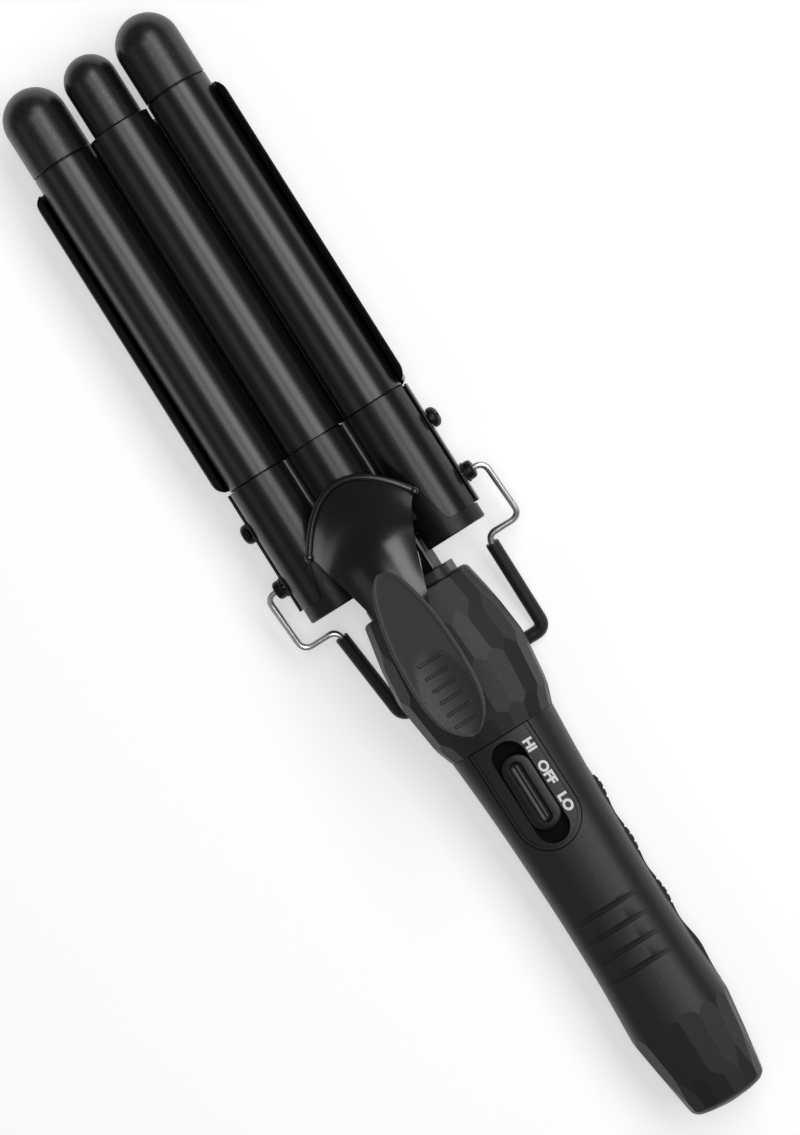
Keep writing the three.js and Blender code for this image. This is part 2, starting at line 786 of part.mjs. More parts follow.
// Back cover with a flat back and two cheeks, open towards both jaws
function rearCover() {
  const inner = housingHalfWidth - cheekWall;
  const lining = rearOutline(cheekWall, backWall, far);
  return drawn(rearOutline(0, 0, cheekHeight), housingStart, seam, rearSteps)
    .subtract(drawn(lining, housingStart + backWall, seam - backWall, rearSteps))
    .subtract(troughRoom(saddleReach, -past, inner).intersect(drawn(lining, -past, far, rearSteps)))
    .subtract(cheekHole(screwRadius, seam - upperScrewFromSeam))
    .subtract(cheekHole(wireRadius, standAlong))
    .subtract(block(-past, far, -inner, inner, 0, far))
    .subtract(bracketRoom(-past, far));
}

// Tabs of the frame that the two side screws bite into, between the front base and the cheeks
function screwTabs() {
  const middle = seam - upperScrewFromSeam;
  const inner = barrelPitch + baseRadius + gap;
  const outline = drawn(rearOutline(cheekWall + gap, backWall + gap, cheekHeight - gap), 0, far, rearSteps);
  const tab = (y0, y1) => block(
    middle - screwTabHalf, middle + screwTabHalf, y0, y1, standPivotHeight - screwTabDepth, cheekHeight - gap,
  );
  return tab(inner, far).add(tab(-far, -inner)).intersect(outline);
}

// Frame inside the rear cover: a saddle behind each outer barrel and the post of the middle barrel
function rearFrame() {
  const start = housingStart + backWall + gap;
  const end = seam - backWall - gap;
  const columnEnd = columnStart + frameColumnLength;
  const floor = frameFloorHeight - past;
  const post = block(columnStart, columnEnd, -frameColumnHalfWidth, frameColumnHalfWidth, floor, 0)
    .add(bar('x', frameColumnHalfWidth, columnStart, columnEnd, {}, 32));
  const spigotRadius = middleBarrelRadius - barrelWall - gap;
  const spigot = bar('x', spigotRadius, columnStart, barrelStart + spigotReach, {}, 32);
  return drawn(rearOutline(cheekWall + gap, backWall + gap, -gap), start, end, rearSteps)
    .subtract(troughRoom(saddleRadius, -past, far))
    .subtract(troughRoom(saddleReach, seam - backWall - wingTailLength, far))
    .add(screwTabs())
    .subtract(cheekHole(screwRadius, seam - upperScrewFromSeam))
    .subtract(bracketScrewRoom(bracketFloorTop - bracketScrewLength - gap))
    .subtract(bracketRoom(-past, far))
    .add(post)
    .add(spigot)
    .subtract(bar('x', baseLeadBore, 0, far, {}, screwFacets));
}

function barrelTube(radius, start) {
  const bore = radius - barrelWall;
  const profile = [[bore, start], [radius, start], [radius, barrelEnd], [bore, barrelEnd], [bore, start]];
  return (y) => turned(profile, { y, segments: roundFacets });
}

// Domed tip with a spigot that sits in the barrel's bore
function barrelTip(radius, length, y) {
  const bore = radius - barrelWall - gap;
  const start = barrelEnd + gap;
  const top = barrelEnd + length;
  const dome = Array.from({ length: domeSteps + 1 }, (_, i) => {
    const turn = (i / domeSteps) * (Math.PI / 2);
    return [radius * Math.cos(turn), top - radius + radius * Math.sin(turn)];
  });
  dome[domeSteps][0] = 0;
  const inner = bore - tipSpigotWall;
  const spigotEnd = barrelEnd - tipSpigotLength;
  const profile = [
    [0, start + tipWall], [inner, start + tipWall], [inner, spigotEnd], [bore, spigotEnd], [bore, start],
    [radius, start], ...dome,
  ];
  return turned(profile, { y, segments: roundFacets });
}

// Wing: a trough behind an outer barrel, with a lip flared outwards and a tail held in the rear frame
function wing(side) {
  const inner = outerBarrelRadius + wingClearance;
  const outer = inner + wingWall;
  const steps = 20;
  const rad = THREE.MathUtils.degToRad;
  const arc = (radius) => Array.from({ length: steps + 1 }, (_, i) => {
    const turn = rad(THREE.MathUtils.lerp(wingLipAngle, -(360 - wingRootAngle), i / steps));
    return new THREE.Vector2(side * (barrelPitch + radius * Math.cos(turn)), radius * Math.sin(turn));
  });
  const lip = [
    new THREE.Vector2(side * wingLipReach, wingLipHeight - wingWall),
    new THREE.Vector2(side * wingLipReach, wingLipHeight),
    new THREE.Vector2(side * (wingLipReach - wingWall), wingLipHeight),
  ];
  const section = new THREE.Shape([...arc(outer).reverse(), ...lip, ...arc(inner)]);
  const start = seam - backWall - wingTailLength + gap;
  const end = barrelEnd - wingTipSetback;
  const plan = wingPlan(barrelStart, end, side);
  const trough = drawn(section, barrelStart, end).intersect(raised(plan, -far, far, 6));
  const tail = drawn(section, start, barrelStart + past);
  return trough.add(tail.intersect(block(0, far, -far, far, -far, wingTailHeight)));
}

// Plan of a wing: straight on the inside, rounded corners on the outside
function wingPlan(start, end, side) {
  const reach = wingLipReach;
  const r = wingCornerRadius;
  const shape = new THREE.Shape();
  shape.moveTo(start, 0);
  shape.lineTo(end, 0);
  shape.lineTo(end, side * (reach - r));
  shape.quadraticCurveTo(end, side * reach, end - r, side * reach);
  shape.lineTo(start + r, side * reach);
  shape.quadraticCurveTo(start, side * reach, start, side * (reach - r));
  return shape;
}

// Front jaw
const lobes = (radius, start, end, middle) => bar('x', radius, start, end, { y: barrelPitch }, roundFacets)
  .add(bar('x', radius, start, end, { y: -barrelPitch }, roundFacets))
  .add(bar('x', middle, start, end, {}, roundFacets));

// Skin of the front cover: a lobe over each barrel, the outer two a little wider towards the cheeks
function coverSkin(inset, start, end) {
  const radius = coverLobeRadius - inset;
  const side = (y) => bar('x', radius, start, end, { y }, roundFacets);
  return lobes(radius, start, end, archRadius - inset)
    .add(side(barrelPitch + coverFlare))
    .add(side(-barrelPitch - coverFlare));
}

function frontCover() {
  const shell = coverSkin(0, housingStart, seam)
    .subtract(coverSkin(coverWall, -past, far))
    .intersect(block(0, far, -far, far, cheekHeight + gap, far));
  const [inside, outside] = [archRadius - webInset, archRadius + webOutset];
  return shell
    .add(block(housingStart, seam, inside, outside, webBottom, webTop))
    .add(block(housingStart, seam, -outside, -inside, webBottom, webTop))
    .subtract(raised(coverNotch(), 0, far));
}

// Plan of the cut-out that the lever arm comes out of: square towards the handle, rounded towards the tips
function coverNotch() {
  const half = coverNotchHalfWidth;
  const r = coverNotchRadius;
  const end = housingStart + coverNotchLength;
  const shape = new THREE.Shape();
  shape.moveTo(0, -half);
  shape.lineTo(end - r, -half);
  shape.absarc(end - r, -half + r, r, -Math.PI / 2, 0);
  shape.lineTo(end, half - r);
  shape.absarc(end - r, half - r, r, 0, Math.PI / 2);
  shape.lineTo(0, half);
  return shape;
}

function frontBase() {
  const start = housingStart - baseReach;
  const lipEnd = start + baseLipLength;
  const spigot = outerBarrelRadius - barrelWall - gap;
  const profile = [
    [0, start], [baseLipRadius, start], [baseLipRadius, lipEnd], [baseRadius, lipEnd], [baseRadius, seam],
    [spigot, seam], [spigot, barrelStart + spigotReach], [baseLeadBore, barrelStart + spigotReach],
    [baseLeadBore, housingStart + coverNotchLength], [0, housingStart + coverNotchLength],
  ];
  const bridgeHalf = barrelPitch - baseBridgeInset;
  const bridge = block(
    bridgeStart, bridgeStart + baseBridgeLength, -bridgeHalf, bridgeHalf, baseBridgeBottom, baseBridgeTop,
  );
  return turned(profile, { y: barrelPitch, segments: roundFacets })
    .add(turned(profile, { y: -barrelPitch, segments: roundFacets }))
    .subtract(block(0, far, -baseNotchHalfWidth, baseNotchHalfWidth, -far, far))
    .add(bridge)
    .subtract(armScrewHoles());
}

// The bridge of the base and the tab of the lever arm that is screwed on top of it
const bridgeStart = housingStart + baseReach;
const tabBottom = baseBridgeTop + gap;
const armScrewAlong = bridgeStart + baseBridgeLength / 2;

function armScrewHoles() {
  const top = tabBottom + armWall + past;
  const hole = (y) => bar('z', smallScrewRadius + gap, 0, top, { x: armScrewAlong, y }, screwFacets);
  return hole(armScrewSpread).add(hole(-armScrewSpread));
}

// Arch plate in front of the middle barrel
function archPlate() {
  const shell = bar('x', archRadius, barrelStart, barrelEnd, {}, roundFacets)
    .subtract(bar('x', archRadius - archWall, -past, far, {}, roundFacets));
  return shell.intersect(block(0, far, -far, far, archEdgeHeight, far));
}

// Thumb pad: half width and top height along its length, from its free end to its tip on the arm
const padStart = handleLength + padOverlap - padLength;
const padOutline = new THREE.SplineCurve([
  [0, 0.13], [0.03, 0.38], [0.08, 0.64], [0.16, 0.86], [0.28, 0.98], [0.4, 1], [0.55, 0.97],
  [0.7, 0.87], [0.82, 0.72], [0.92, 0.53], [0.97, 0.34], [1, 0.12],
].map(([x, y]) => new THREE.Vector2(x, y)));
const padRise = new THREE.SplineCurve([
  [0, 0.93], [0.1, 1], [0.3, 0.92], [0.5, 0.69], [0.7, 0.41], [0.85, 0.21], [1, 0],
].map(([x, y]) => new THREE.Vector2(x, y)));

// Value of a curve that runs steadily in X, at a place along it
function curveAt(curve, x) {
  const points = curve.getPoints(200);
  const next = Math.min(points.length - 1, Math.max(1, points.findIndex((p) => p.x >= x)));
  const [a, b] = [points[next - 1], points[next]];
  return THREE.MathUtils.lerp(a.y, b.y, THREE.MathUtils.clamp((x - a.x) / (b.x - a.x), 0, 1));
}

const padTopAt = (along) => {
  const share = THREE.MathUtils.clamp((along - padStart) / padLength, 0, 1);
  return padFrontHeight + (padBackHeight - padFrontHeight) * curveAt(padRise, share);
};

const padScrewPlaces = { rear: padStart + padRearScrew, front: padStart + padFrontScrew };

function leverPad() {
  const steps = 22;
  const rings = [];
  for (let i = 0; i <= steps; i += 1) {
    const share = (1 - Math.cos((i / steps) * Math.PI)) / 2;
    const along = padStart + share * padLength;
    const half = padHalfWidth * curveAt(padOutline, share);
    const top = padTopAt(along);
    const fading = 1 - THREE.MathUtils.smoothstep(share, 0.45, 0.8);
    const dish = padDish * Math.min(1, half / padHalfWidth) * fading;
    const section = [-1, -padRimShare, -0.7, -0.4, 0, 0.4, 0.7, padRimShare, 1].map((s) => {
      const edge = Math.abs(s) === 1 ? padEdgeDrop : 0;
      return new THREE.Vector3(along, s * half, top - edge - dish * Math.max(0, 1 - (s / padRimShare) ** 2));
    });
    const under = [[0.94, padUnderEdge], [0.75, 0], [-0.75, 0], [-0.94, padUnderEdge]];
    const low = under.map(([s, rise]) => new THREE.Vector3(along, s * half, top - padWall + rise));
    rings.push([...section, ...low]);
  }
  return loft(rings).subtract(padScrewHoles());
}

function padScrewHoles() {
  const holes = Object.values(padScrewPlaces).map((along) => {
    const top = padTopAt(along) - padWall + padScrewLength - armWall;
    return bar('z', smallScrewRadius + gap, 0, top, { x: along }, screwFacets);
  });
  return holes.reduce((all, hole) => all.add(hole));
}

// Lever arm: stations of [distance past the housing's start, half width, crown height, edge height,
// sweep of the front edge]
const armStations = [
  [armReach, armFrontHalfWidth, armFrontHeight, armFrontHeight - 0.8, armEdgeSweep],
  [armReach * 0.7, 17.3, 16, 11.3, armEdgeSweep / 2],
  [armReach * 0.42, 16.4, 21.4, 14.2, 0],
  [3.5, 13.6, 25.2, 22.2, 0],
  [-2.8, 11.3, 26.7, 25.2, 0],
  [-8.8, 9.5, 27.6, 26.8, 0],
  [-13.5, armNeckHalfWidth, armNeckHeight, 27.7, 0],
];
const stripShares = [0.13, 0.3, 0.65, 1];

function armRings(drop) {
  const strip = stripShares.map((share) => {
    const from = armStations.at(-1)[0] - share * stripLength;
    const half = THREE.MathUtils.lerp(armNeckHalfWidth, stripHalfWidth, Math.min(1, share * stripTaper));
    const top = padTopAt(housingStart + from) - padWall - gap;
    return [from, half, top, top - stripEdgeDrop, 0];
  });
  return [...armStations, ...strip].reverse().map(([from, half, crown, edge, sweep]) => {
    const spots = Array.from({ length: 9 }, (_, i) => 1 - i / 4);
    const skin = spots.map((s) => new THREE.Vector3(
      housingStart + from - sweep * s * s, s * half, crown - (crown - edge) * s * s,
    ));
    const under = skin.map((p) => new THREE.Vector3(p.x, p.y, drop ?? p.z - armWall)).reverse();
    return [...skin, ...under];
  });
}

// The arm's shell, its two ears round the pivot pin and the tab that is screwed to the front base
function leverArm() {
  const bridgeEnd = bridgeStart + baseBridgeLength;
  const earStart = pivotAlong - earRadius;
  const earOuter = earSpacing + earWall;
  const tabHalf = earSpacing + earWall / 2;
  const under = loft(armRings(-floorDrop));
  const ear = (y) => block(earStart, bridgeStart - gap, y, y + earWall, pivotHeight, far)
    .add(block(earStart, bridgeEnd, y, y + earWall, tabBottom, far))
    .add(bar('y', earRadius, y, y + earWall, { x: pivotAlong, z: pivotHeight }, 24))
    .intersect(under);
  return loft(armRings())
    .add(ear(earSpacing))
    .add(ear(-earOuter))
    .add(block(bridgeStart, bridgeEnd, -tabHalf, tabHalf, tabBottom, tabBottom + armWall))
    .subtract(bar('y', pivotRadius + gap, -far, far, { x: pivotAlong, z: pivotHeight }, screwFacets))
    .subtract(armScrewHoles())
    .subtract(padScrewHoles());
}

// Heaters: a ceramic plate between two half-round carriers in each barrel
function heaterParts(radius, y) {
  const bore = radius - barrelWall - gap;
  const half = bore * heaterPlateShare;
  const end = heaterStart + heaterLength;
  const round = bar('x', bore, heaterStart, end, { y }, 32);
  const split = heaterPlateHalf + gap;
  return {
    plate: block(heaterStart, end, y - half, y + half, -heaterPlateHalf, heaterPlateHalf),
    front: round.intersect(block(0, far, -far, far, split, far)),
    rear: round.intersect(block(0, far, -far, far, -far, -split)),
  };
}

// Stand: a bent wire turned in the two bosses, with a sleeve on its legs and foot
const standFootAlong = standAlong - standReach;
const legDown = new THREE.Vector3(standFootAlong - standAlong, 0, standFootHeight - standPivotHeight);
const legLength = legDown.length();
legDown.normalize();

const standPoint = (down, y) => legDown.clone().multiplyScalar(down)
  .add(new THREE.Vector3(standAlong, y, standPivotHeight));

// A path through points, with each corner rounded
function roundedPath(points, radius) {
  const path = new THREE.CurvePath();
  let from = points[0];
  for (let i = 1; i + 1 < points.length; i += 1) {
    const into = points[i - 1].clone().sub(points[i]).setLength(radius).add(points[i]);
    const out = points[i + 1].clone().sub(points[i]).setLength(radius).add(points[i]);
    path.add(new THREE.LineCurve3(from, into));
    path.add(new THREE.QuadraticBezierCurve3(into, points[i], out));
    from = out;
  }
  path.add(new THREE.LineCurve3(from, points.at(-1)));
  return path;
}

function standPath() {
  return mirroredPath([
    standPoint(0, housingHalfWidth - cheekWall + gap), standPoint(0, standArmReach),
    standPoint(standKneeDrop, standArmReach), standPoint(standKneeDrop, standLegTopHalfWidth),
    standPoint(legLength, standLegFootHalfWidth),
  ]);
}

function sleevePath() {
  return mirroredPath([
    standPoint(standKneeDrop + sleeveStart, standLegTopHalfWidth),
    standPoint(legLength, standLegFootHalfWidth),
  ]);
}

// A path down one side of the stand and up the other
function mirroredPath(half) {
  return roundedPath([...half, ...half.map((p) => p.clone().setY(-p.y)).reverse()], standBend);
}

function standBush(side) {
  const seat = housingHalfWidth + gap;
  const bore = wireRadius + gap;
  const profile = [
    [bore, seat], [bossRadius, seat], [bossRadius, seat + bossLength * 0.6],
    [bossRadius * 0.75, seat + bossLength], [bore, seat + bossLength], [bore, seat],
  ];
  return turned(profile, { axis: 'y', side, x: standAlong, z: standPivotHeight, segments: 20 });
}

// Leads from the control board to the middle heater, and a lead inside each arm of the front base
const leadFloor = bracketFloorTop + leadRadius + gap;

function boardLead(side) {
  const start = boardStart + boardLength - terminalFromEnd + gap;
  const top = boardHeight + boardWall + leadBoardRise;
  const low = -leadRadius - gap;
  const points = [
    [start, leadSpread, top], [handleLength - leadDropStart, leadSpread, top - leadDrop],
    [handleLength - leadDropEnd, leadSpread, leadFloor],
    [handleLength - leadMouthSetback, leadSpread, leadFloor],
    [pivotAlong - leadMouthSetback, leadNeckSpread, leadFloor], [pivotAlong, leadNeckSpread, leadFloor],
    [pivotAlong + leadClimb, leadNeckSpread, leadFloor + leadRadius],
    [columnStart - columnSetback, leadNeckSpread, low - 2 * leadRadius],
    [columnStart + frameColumnLength, leadNeckSpread, low], [heaterStart - gap, leadNeckSpread, low],
  ].map(([x, y, z]) => new THREE.Vector3(x, side * y, z));
  return tube(new THREE.CatmullRomCurve3(points), leadRadius, 24, 5);
}

function jawLead(side) {
  const start = housingStart + coverNotchLength + gap;
  return bar('x', leadRadius, start, heaterStart - gap, { y: lobeSide(side) }, 8);
}

// Assembly: one group for each part of the waver that moves as one
const group = (...children) => new THREE.Group().add(...children);
const { front: frontShell, rear: rearShell, plate: switchPlate } = handleShells();

function handleScrew(along) {
  const seat = outlineAt(along).rear + smallHeadLength;
  const place = { axis: 'z', side: -1, x: along, z: seat };
  return screw(screwRadius, smallHeadRadius, smallHeadLength, screwTipHeight - seat, place);
}

const handle = group(
  piece('handle_front_shell', frontShell, handlePlastic),
  piece('handle_rear_shell', rearShell, handlePlastic),
  piece('finger_grip', fingerGrip(), gripRubber),
  piece('cord_bush', cordBush(), gripRubber),
  piece('front_collar', collar(), handlePlastic),
  piece('switch_plate', switchPlate, coverPlastic),
  piece('switch_body', switchBody(), basePlastic),
  piece('control_board', controlBoard(), boardLaminate),
  piece('handle_screw_rear', handleScrew(screwPlaces.rear), blackSteel),
  piece('handle_screw_middle', handleScrew(screwPlaces.middle), blackSteel),
  piece('handle_screw_front', handleScrew(screwPlaces.front), blackSteel),
);

const button = group(piece('switch_slider', slider(), glossBlack));

const neck = group(
  piece('neck_bracket', neckBracket(), brightSteel),
  piece('pivot_pin', pivotPin(), brightSteel),
  piece('lead_live', boardLead(1), leadSilicone),
  piece('lead_neutral', boardLead(-1), leadSilicone),
);

const middleHeater = heaterParts(middleBarrelRadius, 0);
const middleStart = columnStart + frameColumnLength + gap;
const rearJaw = group(
  piece('rear_cover', rearCover(), coverPlastic),
  piece('rear_frame', rearFrame(), basePlastic),
  piece('barrel_middle', barrelTube(middleBarrelRadius, middleStart)(0), coatedBarrel),
  piece('tip_middle', barrelTip(middleBarrelRadius, middleTipLength, 0), coatedBarrel),
  piece('heater_middle', middleHeater.plate, heaterCeramic),
  piece('heater_carrier_middle_front', middleHeater.front, brightSteel),
  piece('heater_carrier_middle_rear', middleHeater.rear, brightSteel),
);

const frontJaw = group(
  piece('front_cover', frontCover(), coverPlastic),
  piece('front_base', frontBase(), basePlastic),
  piece('arch_plate', archPlate(), coatedBarrel),
  piece('lever_arm', leverArm(), glossBlack),
  piece('lever_pad', leverPad(), handlePlastic),
  piece('jaw_spring', tube(new SpringPath(), springWireRadius, springSteps, 5), brightSteel),
);

for (const [name, along] of Object.entries(padScrewPlaces)) {
  const seat = padTopAt(along) - padWall - gap - armWall - gap - stripSlope * smallHeadRadius;
  const place = { axis: 'z', side: -1, x: along, z: seat };
  const body = screw(smallScrewRadius, smallHeadRadius, smallHeadLength, padScrewLength, place);
  frontJaw.add(piece('lever_screw_' + name, body, blackSteel));
}

for (const [name, side] of Object.entries(sides)) {
  const y = lobeSide(side);
  const heater = heaterParts(outerBarrelRadius, y);
  const armScrewLength = tabBottom - baseBridgeBottom + armWall;
  const armScrew = screw(smallScrewRadius, smallHeadRadius, smallHeadLength, armScrewLength, {
    axis: 'z', side: -1, x: armScrewAlong, y: side * armScrewSpread, z: baseBridgeBottom - gap,
  });
  frontJaw.add(
    piece('barrel_' + name, barrelTube(outerBarrelRadius, barrelStart)(y), coatedBarrel),
    piece('tip_' + name, barrelTip(outerBarrelRadius, outerTipLength, y), coatedBarrel),
    piece('heater_' + name, heater.plate, heaterCeramic),
    piece('heater_carrier_' + name + '_front', heater.front, brightSteel),
    piece('heater_carrier_' + name + '_rear', heater.rear, brightSteel),
    piece('lead_' + name, jawLead(side), leadSilicone),
    piece('arm_screw_' + name, armScrew, blackSteel),
  );
  const sideScrew = screw(screwRadius, screwHeadRadius, screwHeadLength, sideScrewLength, {
    axis: 'y', side, x: seam - upperScrewFromSeam, y: side * (housingHalfWidth + gap), z: standPivotHeight,
  });
  const bracketScrew = screw(smallScrewRadius, smallHeadRadius, smallHeadLength, bracketScrewLength, {
    axis: 'z', x: bracketScrewAlong, y: side * bracketScrewSpread, z: bracketFloorTop + gap,
  });
  rearJaw.add(
    piece('wing_' + name, wing(side), coatedBarrel),
    piece('side_screw_' + name, sideScrew, blackSteel),
    piece('stand_bush_' + name, standBush(side), blackSteel),
    piece('bracket_screw_' + name, bracketScrew, blackSteel),
  );
}

const wire = standPath();
const sleeveBore = tube(wire, wireRadius + gap, wireSteps, 6);
const stand = group(
  piece('stand_wire', tube(wire, wireRadius, wireSteps, 6), brightSteel),
  piece('stand_sleeve', tube(sleevePath(), sleeveRadius, 24).subtract(sleeveBore), sleeveRubber),
);

// On its back: the origin is under the middle of the whole, on the surface that it lies on
const waver = group(handle, button, neck, rearJaw, frontJaw, stand);
waver.position.set(-overallLength / 2, 0, floorDrop);

export default group(waver);
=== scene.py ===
"""Looks of a hair waver with three barrels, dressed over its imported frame.

Sizes are in millimetres of the waver: "along" runs from the handle's end to the barrel tips, "across"
is positive to the left when the tips point up, and heights are measured from the barrels' axes.
"""

import logging
import math
from collections.abc import Callable, Iterable, Sequence
from dataclasses import dataclass, field
from enum import Enum

import bmesh
import bpy
from mathutils import Matrix, Vector


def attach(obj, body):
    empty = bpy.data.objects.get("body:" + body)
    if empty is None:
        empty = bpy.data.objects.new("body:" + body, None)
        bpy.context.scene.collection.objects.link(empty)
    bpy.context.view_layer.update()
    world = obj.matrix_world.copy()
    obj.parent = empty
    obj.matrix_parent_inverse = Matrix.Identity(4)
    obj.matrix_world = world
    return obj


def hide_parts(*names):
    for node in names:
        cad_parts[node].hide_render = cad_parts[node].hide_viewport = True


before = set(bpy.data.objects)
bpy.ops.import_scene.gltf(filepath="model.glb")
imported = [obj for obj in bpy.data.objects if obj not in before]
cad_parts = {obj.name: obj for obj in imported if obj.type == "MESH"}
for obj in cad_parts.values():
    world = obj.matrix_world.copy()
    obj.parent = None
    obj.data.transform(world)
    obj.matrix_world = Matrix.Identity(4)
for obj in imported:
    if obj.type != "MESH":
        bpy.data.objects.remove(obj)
log = logging.getLogger("waver")

MM = 0.001
OVERALL_LENGTH = 345.5
FLOOR_DROP = 17.0
# Joint between two fitted pieces
GAP = 0.3
# Level past every surface of the waver, to which cutting shapes reach
BEYOND = 30.0
# Vertices closer than this, in millimetres, are one
WELD = 0.0005
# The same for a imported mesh, and the angle in degrees up to which its neighbouring faces are one
PACKED_WELD, PACKED_FLAT = 0.001, 0.6
# Vertices this near to a cutting plane lie on it
ON_PLANE = 1e-5
# Between these values a noise texture stays for most of its area
NOISE_LOW, NOISE_HIGH = 0.3, 0.7
# Least roughness that a finish may come down to
LEAST_ROUGHNESS = 0.02
WAVER_TO_FRAME = Matrix.Translation((-OVERALL_LENGTH / 2 * MM, 0, FLOOR_DROP * MM)) @ Matrix.Scale(MM, 4)
Point = tuple[float, float, float]
Pair = tuple[float, float]


class Body(Enum):
    """The bodies of the frame that pieces ride on."""

    ROOT = "root"
    JAW = "jaw"
    STAND = "stand"
    SLIDER = "slider"


class Cut(Enum):
    """Ways to join one closed mesh with another."""

    AWAY = "DIFFERENCE"
    WITHIN = "INTERSECT"
    TOGETHER = "UNION"


# Materials


def linear(hex_colour: str) -> tuple[float, float, float, float]:
    """Turn an sRGB hex value into a linear colour.

    Args:
        hex_colour: Six hex digits.

    Returns:
        Red, green, blue and alpha.
    """
    parts = [int(hex_colour[i : i + 2], 16) / 255 for i in (0, 2, 4)]
    red, green, blue = (c / 12.92 if c <= 0.04045 else ((c + 0.055) / 1.055) ** 2.4 for c in parts)
    return red, green, blue, 1.0


def add_node(
    tree: bpy.types.NodeTree, kind: str, settings: dict | None = None, links: dict | None = None
) -> bpy.types.Node:
    """Add a node with its settings and what feeds it.

    Args:
        tree: The material's or world's node tree.
        kind: The node's type name.
        settings: Values of the node's own properties, or of its inputs by name or number.
        links: Output sockets to join to its inputs, by name or number.

    Returns:
        The new node.
    """
    node = tree.nodes.new(kind)
    for key, value in (settings or {}).items():
        if isinstance(key, str) and hasattr(node, key):
            setattr(node, key, value)
        else:
            node.inputs[key].default_value = value
    for key, source in (links or {}).items():
        tree.links.new(source, node.inputs[key])
    return node


@dataclass(frozen=True)
class Finish:
    """A finish: what it is made of, its colour and how its surface was made."""

    name: str
    slot: str
    colour: str
    roughness: float
    metallic: float = 0.0
    ior: float = 1.5
    grain_mm: float = 0.5
    grain_depth_mm: float = 0.02
    grain_stretch: Point = (1.0, 1.0, 1.0)
    roughness_spread: float = 0.08
    tint: float = 0.12
    tint_mm: float = 14.0
    coat: float = 0.0
    coat_roughness: float = 0.1

    def build(self) -> bpy.types.Material:
        """Build the material: broad cloudy tint, fine grain in the bump, and uneven roughness.

        Returns:
            The material.
        """
        known = bpy.data.materials.get(self.name)
        if known:
            return known
        material = bpy.data.materials.new(self.name)
        material.use_nodes = True
        tree = material.node_tree
        tree.nodes.clear()
        place = add_node(tree, "ShaderNodeTexCoord").outputs["Object"]
        stretched = add_node(tree, "ShaderNodeMapping", {"Scale": self.grain_stretch}, {"Vector": place})
        cloud = add_node(
            tree, "ShaderNodeTexNoise", {"Scale": 1 / (self.tint_mm * MM), "Detail": 3.0}, {"Vector": place}
        )
        grain = add_node(
            tree,
            "ShaderNodeTexNoise",
            {"Scale": 1 / (self.grain_mm * MM), "Detail": 2.0, "Roughness": 0.6},
            {"Vector": stretched.outputs["Vector"]},
        )
        base = linear(self.colour)
        paler = tuple(min(1.0, c * (1 + self.tint)) for c in base[:3]) + (1.0,)
        darker = tuple(c * (1 - self.tint) for c in base[:3]) + (1.0,)
        colour = add_node(
            tree, "ShaderNodeMix", {"data_type": "RGBA", 6: darker, 7: paler}, {0: cloud.outputs[0]}
        )
        uneven = add_node(
            tree,
            "ShaderNodeMapRange",
            {
                "From Min": NOISE_LOW,
                "From Max": NOISE_HIGH,
                "To Min": max(LEAST_ROUGHNESS, self.roughness - self.roughness_spread),
                "To Max": min(1.0, self.roughness + self.roughness_spread),
            },
            {"Value": grain.outputs[0]},
        )
        bump = add_node(
            tree,
            "ShaderNodeBump",
            {"Strength": 1.0, "Distance": self.grain_depth_mm * MM},
            {"Height": grain.outputs[0]},
        )
        settings = {
            "Metallic": self.metallic,
            "Coat Weight": self.coat,
            "Coat Roughness": self.coat_roughness,
        }
        if not self.metallic:
            settings["IOR"] = self.ior
        shader = add_node(
            tree,
            "ShaderNodeBsdfPrincipled",
            settings,
            {
                "Base Color": colour.outputs[2],
                "Roughness": uneven.outputs["Result"],
                "Normal": bump.outputs["Normal"],
            },
        )
        add_node(tree, "ShaderNodeOutputMaterial", {}, {"Surface": shader.outputs["BSDF"]})
        return material


# Moulded ABS with a spark-eroded texture: a soft, dry sheen with no clear reflection
MOULDED_ABS = Finish(
    "moulded matt ABS", "handle_plastic", "1e1e1f", 0.44, ior=1.45, grain_mm=0.45, grain_depth_mm=0.015
)
# The thumb pad, of the same plastic with a coarser texture: drier and a shade paler
TEXTURED_ABS = Finish("textured ABS", "handle_plastic", "303031", 0.5, grain_mm=0.6, grain_depth_mm=0.02)
# Thermoplastic rubber: duller than the shells round it, with no streak of its own
SOFT_TPE = Finish("ribbed soft TPE", "grip_rubber", "222223", 0.52, grain_mm=0.7, grain_depth_mm=0.02)
# Nylon of the covers, from a polished mould: half gloss with broad clear streaks
POLISHED_NYLON = Finish(
    "half gloss nylon", "cover_plastic", "0f0f10", 0.28, grain_mm=2.0, grain_depth_mm=0.001,
    roughness_spread=0.015,
)
# Glass-filled nylon near the heat: duller and faintly mottled
FILLED_NYLON = Finish(
    "glass-filled nylon", "inner_plastic", "101011", 0.42, ior=1.42, grain_mm=0.6, grain_depth_mm=0.012,
    tint=0.2, tint_mm=5.0,
)
# Ceramic coating sprayed on a drawn aluminium tube: satin streaks that run along the barrel
COATED_TUBE = Finish(
    "ceramic coated aluminium", "coated_barrel", "0e0e0f", 0.275, ior=1.6, grain_mm=0.8, grain_depth_mm=0.002,
    grain_stretch=(0.03, 1.0, 1.0), roughness_spread=0.02,
)
# Black stoving enamel on pressed steel: deep and wet, with a slight orange peel
ENAMEL = Finish(
    "black stoving enamel", "lever_metal", "060607", 0.25, grain_mm=2.6, grain_depth_mm=0.0015,
    roughness_spread=0.015, coat=0.6, coat_roughness=0.2,
)
# ABS from a polished mould: half gloss, so that the trough shows only soft glints
POLISHED_ABS = Finish(
    "polished ABS", "slider_plastic", "0a0a0b", 0.33, grain_mm=2.0, grain_depth_mm=0.003,
    roughness_spread=0.02,
)
